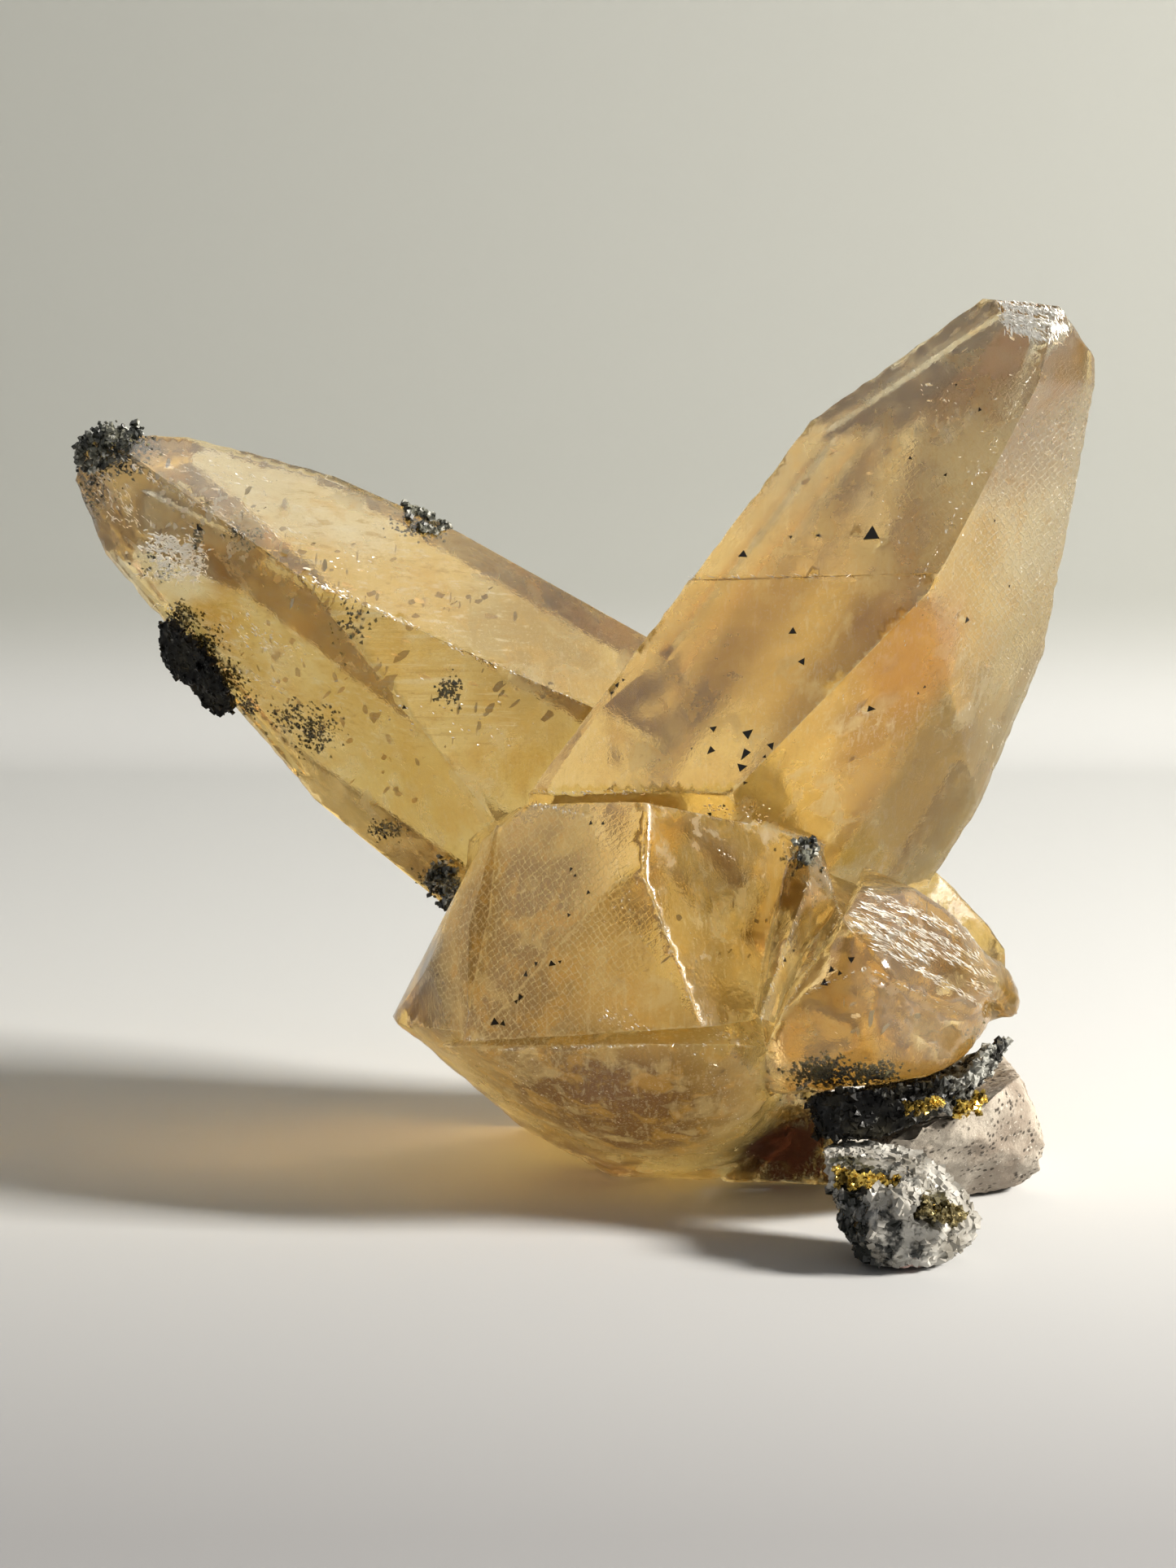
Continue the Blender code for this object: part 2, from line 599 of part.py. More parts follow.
def druse(name, corners, finish, shapes, seed):
    """A thin dark crust of tiny crystals on a crystal's edge."""
    crust = lump(name, corners, finish, relief=0.4, grain=1.1, seed=seed, detail=3)
    return largest_body(cut_clear(crust, shapes))


def brassy_grains(finish, rock, seam, foot):
    """Chalcopyrite on the foot, the seam and the rock, and the pyrite ball on the foot."""
    cluster("foot_chalcopyrite", row((23.8, -20.6, 8.6), (28.8, -23.6, 8.4), 6), FOOT_GRAIN,
            2, finish, [foot])
    cluster("foot_pyrite", row((31.6, -26.4, 6.6), (33.8, -25.6, 6.0), 3), PYRITE_GRAIN,
            6, finish, [foot])
    cluster("seam_chalcopyrite", row((31.0, -13.4, 13.6), (33.8, -12.6, 13.8), 4), SEAM_GRAIN,
            4, finish, [seam])
    cluster("rock_chalcopyrite", row((36.2, -8.4, 12.4), (38.2, -6.8, 12.6), 4), ROCK_GRAIN,
            9, finish, [rock, seam])


def blade_crusts(finish):
    """Dark drusy crusts: on the left blade's tip and upper edge, at its root, and on the
    top of the narrow blade."""
    druse("tip_druse", [
        (-54.2, 26.4, 71.0), (-53.2, 21.6, 75.6), (-50.2, 17.2, 77.8), (-47.6, 17.8, 78.2),
        (-44.6, 19.6, 77.9), (-46.0, 16.6, 74.6), (-50.8, 19.8, 71.4), (-46.6, 27.4, 77.0),
        (-50.4, 28.2, 73.8),
    ], finish, [left_blade], 1.0)
    druse("edge_druse", [
        (-19.8, 23.6, 69.6), (-16.6, 23.0, 68.6), (-13.4, 23.0, 66.6), (-18.4, 20.6, 67.0),
        (-15.2, 20.4, 65.4), (-18.6, 27.0, 68.4), (-14.0, 27.0, 66.0),
    ], finish, [left_blade], 2.0)
    druse("root_druse", [
        (-17.6, 21.0, 31.2), (-17.2, 23.0, 27.0), (-13.6, 19.0, 27.4), (-13.0, 15.0, 31.6),
        (-15.0, 27.0, 29.0), (-17.2, 25.0, 29.4), (-13.4, 24.0, 27.2),
    ], finish, [left_blade, left_stub, centre_crystal], 4.0)
    druse("blade_druse", [
        (18.8, -9.0, 38.8), (22.6, -8.6, 38.9), (22.4, -10.6, 37.0), (19.6, -11.2, 36.7),
        (20.4, -12.2, 37.8), (20.0, -6.6, 39.2), (22.0, -6.4, 38.8),
    ], finish, [narrow_blade, centre_crystal, right_blade], 3.0)


def to_origin():
    """The origin comes under the middle of the whole specimen."""
    for thing in bpy.data.objects:
        thing.data.transform(Matrix.Translation(-Vector(MIDDLE) * MM))


clear_objects()
black = material("sphalerite", SPHALERITE, 0.4)
calcite_crystals(material("calcite", CALCITE, 0.25))
matrix = matrix_rock(material("rock", ROCK, 0.9))
seam = sphalerite_seam(black)
foot = drusy_foot(material("dolomite", DOLOMITE, 0.5))
sphalerite_crust(black)
brassy_grains(material("chalcopyrite", BRASSY, 0.35, 1.0), matrix, seam, foot)
blade_crusts(material("druse", DRUSE, 0.6))
to_origin()
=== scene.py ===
import math
import random

import bmesh
import bpy
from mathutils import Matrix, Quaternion, Vector, noise
from mathutils.bvhtree import BVHTree


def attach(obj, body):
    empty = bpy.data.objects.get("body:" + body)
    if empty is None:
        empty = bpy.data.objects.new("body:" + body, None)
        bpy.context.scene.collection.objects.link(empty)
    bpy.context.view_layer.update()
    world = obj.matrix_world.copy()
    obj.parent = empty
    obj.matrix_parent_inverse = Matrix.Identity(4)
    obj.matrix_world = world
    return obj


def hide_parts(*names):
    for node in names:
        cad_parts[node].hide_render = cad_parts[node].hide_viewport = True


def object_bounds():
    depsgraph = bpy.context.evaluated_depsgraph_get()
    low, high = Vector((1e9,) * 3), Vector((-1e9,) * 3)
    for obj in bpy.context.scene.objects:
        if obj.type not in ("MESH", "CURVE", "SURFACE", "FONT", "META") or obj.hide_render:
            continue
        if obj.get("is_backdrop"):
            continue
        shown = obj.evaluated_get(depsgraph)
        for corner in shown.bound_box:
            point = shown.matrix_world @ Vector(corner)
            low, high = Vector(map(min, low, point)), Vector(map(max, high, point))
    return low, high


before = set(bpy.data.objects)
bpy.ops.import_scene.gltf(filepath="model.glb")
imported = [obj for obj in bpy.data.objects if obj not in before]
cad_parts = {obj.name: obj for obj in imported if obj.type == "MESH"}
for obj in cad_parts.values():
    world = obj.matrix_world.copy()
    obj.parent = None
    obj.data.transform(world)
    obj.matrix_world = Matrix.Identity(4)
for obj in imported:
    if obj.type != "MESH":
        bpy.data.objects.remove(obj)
cad_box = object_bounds()

# Camera. It stands 40 cm in front of the specimen, 10 cm above the table, and looks down 8
# degrees. towards() gives the line of sight through a spot of the picture, in its pixels,
# for the marks that are placed by where they are seen.
WIDE, TALL = 1445, 1927
EYE = Vector((0.0012, -0.40576, 0.09867))
PITCH = math.radians(8.0)
FOCAL = 5000.0
lens = bpy.data.cameras.new("camera")
lens.sensor_width = 36.0
lens.lens = FOCAL * lens.sensor_width / TALL
lens.clip_start = 0.01
camera = bpy.data.objects.new("camera", lens)
camera.location = EYE
camera.rotation_euler = (math.pi / 2 - PITCH, 0.0, 0.0)
bpy.context.scene.collection.objects.link(camera)
bpy.context.scene.camera = camera


def towards(across, down):
    """The direction from the eye through a spot of the picture."""
    right = (across - WIDE / 2) / FOCAL
    up = (TALL / 2 - down) / FOCAL
    ahead = Vector((0.0, math.cos(PITCH), -math.sin(PITCH)))
    above = Vector((0.0, math.sin(PITCH), math.cos(PITCH)))
    return (ahead + Vector((right, 0.0, 0.0)) + above * up).normalized()


# Table and light. The table is a pale sheet that curves up into a grey wall, open when seen
# from its back. One soft light stands low at the right and a little to the front, the pale
# room fills the shadows, and wide panels around the table shine into the crystals.
def node(tree, kind, inputs=(), **settings):
    """A shader node with its settings, and its inputs as values or links."""
    made = tree.nodes.new(kind)
    for name, value in settings.items():
        setattr(made, name, value)
    for slot, value in dict(inputs).items():
        if isinstance(value, bpy.types.NodeSocket):
            tree.links.new(value, made.inputs[slot])
        else:
            made.inputs[slot].default_value = value
    return made


def finish(name, colour, roughness, **plain):
    """A new material with one Principled shader and its plain values."""
    made = bpy.data.materials.new(name)
    made.use_nodes = True
    shader = made.node_tree.nodes["Principled BSDF"]
    shader.inputs["Base Color"].default_value = (*colour, 1.0)
    shader.inputs["Roughness"].default_value = roughness
    for slot, value in plain.items():
        shader.inputs[slot.replace("_", " ")].default_value = value
    return made, made.node_tree, shader


def show(name, mesh):
    thing = bpy.data.objects.new(name, mesh)
    bpy.context.scene.collection.objects.link(thing)
    return thing


def sweep():
    front, wall, bend, half, top = -0.9, 0.36, 0.05, 1.3, 1.1
    path = [(front, 0.0)]
    steps = 16
    for step in range(steps + 1):
        turn = math.pi / 2 * step / steps
        path.append((wall - bend + bend * math.sin(turn), bend - bend * math.cos(turn)))
    path.append((wall, top))
    mesh = bpy.data.meshes.new("table")
    verts = [(side, y, z) for y, z in path for side in (-half, half)]
    faces = [(2 * i, 2 * i + 1, 2 * i + 3, 2 * i + 2) for i in range(len(path) - 1)]
    mesh.from_pydata(verts, [], faces)
    mesh.shade_smooth()
    return show("table", mesh)


table = sweep()
paper, tree, shader = finish("pale_paper", (0.62, 0.61, 0.58), 0.9, Specular_IOR_Level=0.0)
spot = node(tree, "ShaderNodeSeparateXYZ", {
    "Vector": node(tree, "ShaderNodeTexCoord").outputs["Object"]})
# The table is painted darker towards its front: painted shade for the key light's falloff.
near = node(tree, "ShaderNodeMapRange", {"Value": spot.outputs["Y"], "From Min": -0.11,
                                         "From Max": 0.02}).outputs[0]
painted_falloff_tone = node(tree, "ShaderNodeMix", {0: near, 6: (0.43, 0.43, 0.44, 1.0),
                                          7: (0.79, 0.80, 0.80, 1.0)}, data_type="RGBA")
wall = node(tree, "ShaderNodeMapRange", {"Value": spot.outputs["Z"], "From Min": 0.0,
                                         "From Max": 0.03}, interpolation_type="SMOOTHSTEP")
tone = node(tree, "ShaderNodeMix", {0: wall.outputs[0], 6: painted_falloff_tone.outputs[2],
                                    7: (0.48, 0.49, 0.46, 1.0)}, data_type="RGBA")
tree.links.new(tone.outputs[2], shader.inputs["Base Color"])
behind = node(tree, "ShaderNodeNewGeometry").outputs["Backfacing"]
open_back = node(tree, "ShaderNodeBsdfTransparent")
sheet = node(tree, "ShaderNodeMixShader", {0: behind, 1: shader.outputs["BSDF"],
                                           2: open_back.outputs["BSDF"]})
tree.links.new(sheet.outputs["Shader"], tree.nodes["Material Output"].inputs["Surface"])
table.data.materials.append(paper)
table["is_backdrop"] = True


def soft_light(name, at, aim, size, power, colour):
    lamp = bpy.data.lights.new(name, "AREA")
    lamp.shape = "RECTANGLE"
    lamp.size, lamp.size_y = size
    lamp.energy = power
    lamp.color = colour
    thing = show(name, lamp)
    thing.location = at
    thing.rotation_euler = (Vector(aim) - Vector(at)).to_track_quat("-Z", "Y").to_euler()
    return thing


soft_light("key", (0.60, -0.17, 0.36), (0.0, 0.0, 0.04), (0.15, 0.15), 9.0, (1.0, 0.95, 0.87))
for name, at, side, power in (("right_panel", (0.45, 0.20, 0.70), 0.8, 2.6),
                              ("left_panel", (-0.90, 0.00, 0.55), 1.0, 5.0),
                              ("top_panel", (0.0, 0.0, 1.30), 1.4, 4.0),
                              ("front_panel", (0.0, -1.30, 0.60), 1.6, 5.0)):
    panel = soft_light(name, at, (0.0, 0.0, 0.04), (side, side), power, (1.0, 0.98, 0.94))
    panel.visible_diffuse = False
room = bpy.data.worlds.new("room")
room.use_nodes = True
room.node_tree.nodes["Background"].inputs["Color"].default_value = (0.92, 0.93, 0.92, 1.0)
room.node_tree.nodes["Background"].inputs["Strength"].default_value = 0.19
bpy.context.scene.world = room
bpy.context.scene.view_settings.view_transform = "Standard"
bpy.context.scene.cycles.max_bounces = 6
bpy.context.scene.cycles.diffuse_bounces = 2
bpy.context.scene.cycles.transmission_bounces = 6
bpy.context.scene.cycles.glossy_bounces = 4

# Calcite. One mass of grown-together golden crystals. Its solid is split into small faces,
# so that the edges can be worn, the broad faces are very slightly wavy, and the rounded
# crystals lose their corners. All of it only goes inwards.
MM = 0.001
FINE = 1.6 * MM
SHARP = math.radians(24.0)


def refined(source, longest, rounds=6):
    """A closed copy whose edges are mostly no longer than given."""
    bm = bmesh.new()
    bm.from_mesh(source)
    bmesh.ops.remove_doubles(bm, verts=bm.verts, dist=1e-6)
    bmesh.ops.dissolve_limit(bm, angle_limit=math.radians(0.3), verts=bm.verts, edges=bm.edges)
    bmesh.ops.triangulate(bm, faces=bm.faces)
    for step in range(rounds):
        long = [edge for edge in bm.edges if edge.calc_length() > longest]
        bmesh.ops.subdivide_edges(bm, edges=long, cuts=1)
        bmesh.ops.triangulate(bm, faces=[face for face in bm.faces if len(face.verts) > 3])
    return bm


def eased(value, low, high):
    share = min(max((value - low) / (high - low), 0.0), 1.0)
    return share * share * (3.0 - 2.0 * share)


def rounding(spot):
    """How far dissolved the crystal is here: the bottom body wholly, and the squat golden
    crystal at the right mostly."""
    bottom = eased(spot.z, 17.5, 14.0) * eased(spot.z, 0.2, 1.5)
    right = (eased(spot.x, 19.0, 22.0) * eased(spot.y, 0.0, -4.0) * eased(spot.z, 31.0, 28.0)
             * eased(spot.z, 9.0, 11.0))
    return max(bottom, right * 0.8)


def calcite_mesh():
    bm = refined(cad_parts["calcite_crystals"].data, FINE)
    worn = bm.verts.layers.float.new("worn")
    soft = [(vert, rounding(vert.co / MM)) for vert in bm.verts]
    soft = [(vert, share, [edge.other_vert(vert) for edge in vert.link_edges])
            for vert, share in soft if share > 0.0]
    for step in range(22):
        moved = [(vert, vert.co.lerp(sum((other.co for other in near), Vector()) / len(near),
                                     0.5 * share)) for vert, share, near in soft]
        for vert, spot in moved:
            vert.co = spot
    bm.normal_update()
    for vert, share, near in soft:
        spot = vert.co / MM
        pits = 0.5 + 0.5 * noise.noise(spot * 0.35) + 0.3 * noise.noise(spot * 1.1)
        vert.co -= vert.normal * share * max(pits, 0.0) * 0.45 * MM * eased(spot.z, 0.5, 2.5)
    bm.normal_update()
    edge_verts = set()
    for edge in bm.edges:
        if edge.is_manifold and edge.calc_face_angle() > SHARP:
            edge_verts.update(edge.verts)
    normals = {vert: vert.normal.copy() for vert in bm.verts}
    for vert in bm.verts:
        spot = vert.co / MM
        if vert in edge_verts:
            wear = max(noise.noise(spot * 0.9) + 0.15, 0.0) * 0.30 + 0.03
            vert[worn] = 1.0
        else:
            wear = (0.5 + 0.5 * noise.noise(spot * 0.16)) * 0.05
        vert.co -= normals[vert] * wear * MM
    mesh = bpy.data.meshes.new("calcite_body")
    bm.to_mesh(mesh)
    bm.free()
    mesh.validate()
    mesh.shade_smooth()
    mesh.set_sharp_from_angle(angle=SHARP)
    return mesh


calcite_body = show("calcite_body", calcite_mesh())
calcite_body.data.materials.clear()
bpy.context.view_layer.update()
surface = BVHTree.FromObject(calcite_body, bpy.context.evaluated_depsgraph_get())


def on_crystal(across, down):
    """Where the line of sight through a spot of the picture meets the calcite, and the
    outward direction there. Past its outline it is the nearest spot of the calcite."""
    spot, outward, face, far = surface.ray_cast(EYE, towards(across, down))
    if spot is None:
        reach = 0.41
        spot, outward, face, far = surface.find_nearest(EYE + towards(across, down) * reach)
    return spot, outward


def maths(tree, operation, a, b=0.0, c=0.0):
    return node(tree, "ShaderNodeMath", {0: a, 1: b, 2: c}, operation=operation).outputs[0]


def ramp(tree, value, low, high, to_low=0.0, to_high=1.0):
    """value, spread smoothly from low..high to to_low..to_high."""
    spread = {"Value": value, "From Min": low, "From Max": high, "To Min": to_low,
              "To Max": to_high}
    return node(tree, "ShaderNodeMapRange", spread, interpolation_type="SMOOTHSTEP").outputs[0]


def mixed(tree, share, below, above):
    """Two colours, or a colour over what is below it."""
    made = node(tree, "ShaderNodeMix", {0: share}, data_type="RGBA")
    for slot, value in ((6, below), (7, above)):
        if isinstance(value, bpy.types.NodeSocket):
            tree.links.new(value, made.inputs[slot])
        else:
            made.inputs[slot].default_value = (*value, 1.0)
    return made.outputs[2]


def fractal(tree, spot, scale, detail=4.0, roughness=0.55, distortion=0.0):
    return node(tree, "ShaderNodeTexNoise", {
        "Vector": spot, "Scale": scale, "Detail": detail, "Roughness": roughness,
        "Distortion": distortion}).outputs["Fac"]


def patch(tree, place, across, down, size, soft=0.5, most=1.0):
    """A soft round patch on the crystal, around a spot of the picture. size is its radius
    in millimetres, and most is its value in the middle."""
    centre = on_crystal(across, down)[0] / MM
    far = node(tree, "ShaderNodeVectorMath", {0: place, 1: centre}, operation="DISTANCE")
    return ramp(tree, far.outputs["Value"], size * (1.0 + soft), size * (1.0 - soft), 0.0, most)


HONEY = (0.90, 0.68, 0.30)
CALCITE_PATCHES = [
    # across, down, radius, strength, colour. The tall crystal
    (1130, 520, 15.0, 0.90, (0.84, 0.80, 0.66)),
    (1290, 600, 12.0, 0.85, (0.90, 0.84, 0.66)),
    (1250, 830, 9.0, 0.80, (0.80, 0.66, 0.36)),
    (1275, 390, 5.0, 1.00, (1.00, 1.00, 0.96)),
    (1000, 590, 11.0, 0.85, (0.56, 0.44, 0.26)),
    (860, 850, 13.0, 0.85, (0.84, 0.58, 0.16)),
    (980, 770, 10.0, 0.90, (0.56, 0.32, 0.05)),
    (1190, 700, 6.0, 0.90, (0.50, 0.34, 0.10)),
    (1090, 980, 11.0, 0.90, (0.46, 0.28, 0.07)),
    (1165, 860, 8.0, 0.95, (0.30, 0.17, 0.02)),
    (1080, 880, 6.0, 0.90, (0.26, 0.11, 0.01)),
    (1125, 800, 5.5, 1.00, (0.17, 0.04, 0.002)),
    # the left blade
    (300, 590, 8.0, 0.95, (0.96, 0.94, 0.84)),
    (400, 625, 7.0, 0.90, (0.94, 0.90, 0.76)),
    (130, 590, 12.0, 1.00, (1.00, 1.00, 0.98)),
    (350, 700, 5.0, 0.80, (0.86, 0.60, 0.18)),
    (450, 720, 5.0, 0.70, (0.90, 0.70, 0.30)),
    (330, 850, 5.0, 0.80, (0.86, 0.66, 0.30)),
    (450, 880, 6.0, 0.80, (0.80, 0.56, 0.18)),
    (560, 830, 6.0, 0.80, (0.84, 0.62, 0.24)),
    (500, 1000, 8.0, 0.80, (0.76, 0.52, 0.14)),
    (650, 790, 8.0, 0.90, (0.46, 0.34, 0.14)),
    (265, 700, 3.0, 0.90, (0.66, 0.36, 0.06)),
    (268, 770, 3.2, 0.90, (0.66, 0.36, 0.08)),
    (215, 685, 4.5, 1.00, (1.00, 0.98, 0.90)),
    (235, 800, 4.5, 0.90, (0.22, 0.21, 0.10)),
    # the lower crystals
    # painted shade: the bottom body under the crystals, which lies in shadow
    (740, 1370, 15.0, 1.00, (0.085, 0.035, 0.022)),
    # the next two: the left stub's front faces, turned from the lamp, their tan colour darkened as
    # painted shade
    (640, 1130, 10.0, 1.00, (0.20, 0.13, 0.08)),
    (610, 1230, 7.0, 1.00, (0.19, 0.125, 0.075)),
    (790, 1190, 7.0, 0.85, (0.72, 0.50, 0.18)),
    (900, 1110, 9.0, 0.95, (0.30, 0.19, 0.06)),
    (1080, 1270, 9.0, 0.90, (1.0, 0.92, 0.70)),
    # painted highlight: the near white patch where the lower right crystal's cleavage face reflects
    # the lamp
    (1130, 1130, 6.0, 0.95, (1.00, 0.98, 0.92)),
    # painted shade: the left stub's left side
    (530, 1220, 6.0, 0.95, (0.11, 0.075, 0.06)),
    # the next two: painted shade on the bottom body's lower edge and on the dark red crystal in the
    # shadow under it
    (730, 1430, 6.0, 0.90, (0.09, 0.01, 0.006)),
    (975, 1412, 9.0, 1.00, (0.004, 0.0004, 0.0002)),
    # the crystal behind at the right, in shade: its dark orange is painted shade and painted glow
    # over its golden tint
    (1190, 1110, 4.0, 0.95, (0.50, 0.14, 0.03)),
    (1165, 1195, 2.2, 0.90, (0.22, 0.14, 0.05)),
]
PURE_PATCHES = [
    # zones that no veil or dust covers. The clear tip of the left blade, its cream patch,
    # the tall crystal's tip and the pale small crystal
    (125, 600, 10.0, 0.90, (1.0, 1.0, 1.0)),
    (215, 685, 4.5, 0.95, (1.0, 1.0, 0.98)),
    (1275, 395, 5.0, 0.80, (1.0, 1.0, 0.98)),
    (300, 575, 6.0, 0.60, (1.0, 1.0, 0.96)),
    (1130, 1240, 6.0, 0.60, (1.0, 0.96, 0.80)),
    # the deep golden and orange zones of the tall crystal
    (880, 810, 8.0, 0.75, (0.52, 0.30, 0.06)),
    (1060, 620, 6.0, 0.60, (0.52, 0.36, 0.14)),
    (1125, 800, 6.5, 0.70, (0.44, 0.19, 0.02)),
    (1110, 825, 3.2, 0.70, (0.32, 0.12, 0.006)),
    (1110, 960, 6.0, 0.60, (0.36, 0.20, 0.04)),
    # painted shade: the lower left crystal's side and the dark red crystal in the shadow, made near
    # black
    (530, 1210, 4.5, 0.85, (0.06, 0.045, 0.035)),
    (960, 1412, 6.0, 1.00, (0.004, 0.0004, 0.0002)),
]
# Long ways of the fine lines in each crystal, and how finely they follow each other.
BLADE_LINES = (0.10, 0.9, 1.9)
UPRIGHT_LINES = (1.9, 0.9, 0.14)


def calcite_finish():
    made, tree, shader = finish("honey_calcite", HONEY, 0.12, Transmission_Weight=0.93,
                                IOR=1.50, Specular_IOR_Level=0.5)
    where = node(tree, "ShaderNodeTexCoord").outputs["Object"]
    place = node(tree, "ShaderNodeVectorMath", {0: where, "Scale": 1.0 / MM},
                 operation="SCALE").outputs["Vector"]
    bend = node(tree, "ShaderNodeTexNoise", {"Vector": place, "Scale": 0.25, "Detail": 1.0})
    shift = node(tree, "ShaderNodeVectorMath", {0: bend.outputs["Color"], "Scale": 5.0},
                 operation="SCALE").outputs["Vector"]
    wavy = node(tree, "ShaderNodeVectorMath", {0: place, 1: shift}, operation="ADD")
    wavy = node(tree, "ShaderNodeVectorMath", {0: wavy.outputs["Vector"], 1: (2.5, 2.5, 2.5)},
                operation="SUBTRACT").outputs["Vector"]
    colour = mixed(tree, ramp(tree, fractal(tree, place, 0.09, 3.0), 0.35, 0.65),
                   (0.84, 0.58, 0.18), (0.95, 0.76, 0.36))
    level = on_crystal(950, 710)[0].z / MM
    height = node(tree, "ShaderNodeSeparateXYZ", {"Vector": place}).outputs["Z"]
    silk = maths(tree, "MULTIPLY", patch(tree, place, 930, 850, 17.5, 0.12),
                 ramp(tree, height, level + 0.15, level - 0.15))
    colour = mixed(tree, maths(tree, "MULTIPLY", silk, 0.85), colour, (0.80, 0.52, 0.13))
    for across, down, size, strength, tone in CALCITE_PATCHES:
        colour = mixed(tree, patch(tree, wavy, across, down, size, most=strength), colour, tone)
    milky = ramp(tree, fractal(tree, wavy, 0.22, 4.0, 0.62), 0.52, 0.66)
    colour = mixed(tree, maths(tree, "MULTIPLY", milky, 0.40), colour, (1.0, 0.93, 0.74))
    golden = ramp(tree, fractal(tree, wavy, 0.31, 3.0, 0.6), 0.50, 0.66)
    colour = mixed(tree, maths(tree, "MULTIPLY", golden, 0.45), colour, (0.74, 0.44, 0.09))
    axes = node(tree, "ShaderNodeSeparateXYZ", {"Vector": place})
    left = maths(tree, "MULTIPLY", ramp(tree, axes.outputs["X"], -2.0, -8.0),
                 ramp(tree, axes.outputs["Z"], 40.0, 46.0))
    lines = []
    for stretch in (BLADE_LINES, UPRIGHT_LINES):
        long = node(tree, "ShaderNodeVectorMath", {0: place, 1: stretch}, operation="MULTIPLY")
        lines.append(fractal(tree, long.outputs["Vector"], 1.0, 3.0, 0.65))
    line = node(tree, "ShaderNodeMix", {0: left, 2: lines[1], 3: lines[0]}).outputs[0]
    bright = maths(tree, "MULTIPLY", ramp(tree, line, 0.55, 0.68),
                   ramp(tree, left, 0.0, 1.0, 0.25, 0.60))
    colour = mixed(tree, bright, colour, (1.0, 0.97, 0.88))
    dim = maths(tree, "MULTIPLY", ramp(tree, line, 0.45, 0.33),
                ramp(tree, left, 0.0, 1.0, 0.25, 0.60))
    colour = mixed(tree, dim, colour, (0.50, 0.31, 0.08))
    dust = fractal(tree, place, 2.6, 3.0, 0.7)
    colour = mixed(tree, ramp(tree, dust, 0.56, 0.70, 0.0, 0.35), colour, (1.0, 0.94, 0.78))
    colour = mixed(tree, ramp(tree, dust, 0.44, 0.30, 0.0, 0.45), colour, (0.46, 0.30, 0.10))
    for across, down, size, strength, tone in PURE_PATCHES:
        colour = mixed(tree, patch(tree, wavy, across, down, size, most=strength), colour, tone)
    etched = patch(tree, wavy, 1280, 640, 14.0, 0.4)
    tan = patch(tree, wavy, 640, 1140, 12.0, 0.4)
    hatch = 0.0
    for tilt in (0.6, 2.3):
        turned = node(tree, "ShaderNodeMapping", {"Vector": place, "Rotation": (0.0, tilt, 0.0)})
        bands = node(tree, "ShaderNodeTexWave", {
            "Vector": turned.outputs["Vector"], "Scale": 0.55, "Distortion": 5.0,
            "Detail": 2.0, "Detail Scale": 1.4}, bands_direction="X").outputs["Fac"]
        hatch = maths(tree, "ADD", hatch, ramp(tree, bands, 0.80, 0.98))
    hatch = maths(tree, "MULTIPLY", maths(tree, "MULTIPLY", hatch, maths(tree, "ADD", etched, tan)),
                  ramp(tree, dust, 0.40, 0.60, 0.2, 1.0))
    colour = mixed(tree, maths(tree, "MULTIPLY", hatch, 0.5), colour, (1.0, 0.98, 0.90))
    worn = node(tree, "ShaderNodeAttribute", attribute_name="worn").outputs["Fac"]
    flaky = fractal(tree, place, 1.1, 2.0, 0.7)
    worn = ramp(tree, maths(tree, "ADD", maths(tree, "MULTIPLY", worn, 0.7), flaky), 1.0, 1.25)
    colour = mixed(tree, maths(tree, "MULTIPLY", worn, 0.5), colour, (0.98, 0.93, 0.80))
    tree.links.new(colour, shader.inputs["Base Color"])
    low = patch(tree, wavy, 740, 1360, 16.0, 0.4)
    tall = patch(tree, wavy, 1080, 720, 20.0, 0.3)
    rough = ramp(tree, fractal(tree, place, 0.5, 2.0), 0.3, 0.7, 0.04, 0.14)
    for share, amount in ((etched, 0.20), (tan, 0.35), (low, 0.30), (tall, 0.14),
                          (silk, 0.10), (worn, 0.15), (milky, 0.24)):
        rough = maths(tree, "ADD", rough, maths(tree, "MULTIPLY", share, amount))
    tree.links.new(rough, shader.inputs["Roughness"])
    fine = maths(tree, "ADD", fractal(tree, place, 1.8, 2.0, 0.7), hatch)
    clear = maths(tree, "ADD", maths(tree, "MULTIPLY", maths(tree, "ADD", etched, tan), 0.4),
                  maths(tree, "ADD", maths(tree, "MULTIPLY", low, 0.35), 0.09))
    bump = node(tree, "ShaderNodeBump", {"Height": fine, "Strength": clear, "Distance": 0.25 * MM})
    tree.links.new(bump.outputs["Normal"], shader.inputs["Normal"])
    tint = node(tree, "ShaderNodeVolumeAbsorption", {"Color": (0.96, 0.82, 0.36, 1.0),
                                                     "Density": 18.0})
    tree.links.new(tint.outputs["Volume"], tree.nodes["Material Output"].inputs["Volume"])
    thin = node(tree, "ShaderNodeBsdfTransparent", {"Color": (0.075, 0.045, 0.035, 1.0)})
    lit = node(tree, "ShaderNodeLightPath").outputs["Is Shadow Ray"]
    both = node(tree, "ShaderNodeMixShader", {0: lit, 1: shader.outputs["BSDF"],
                                              2: thin.outputs["BSDF"]})
    tree.links.new(both.outputs["Shader"], tree.nodes["Material Output"].inputs["Surface"])
    return made


calcite_body.data.materials.append(calcite_finish())
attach(calcite_body, "root")
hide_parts("calcite_crystals")

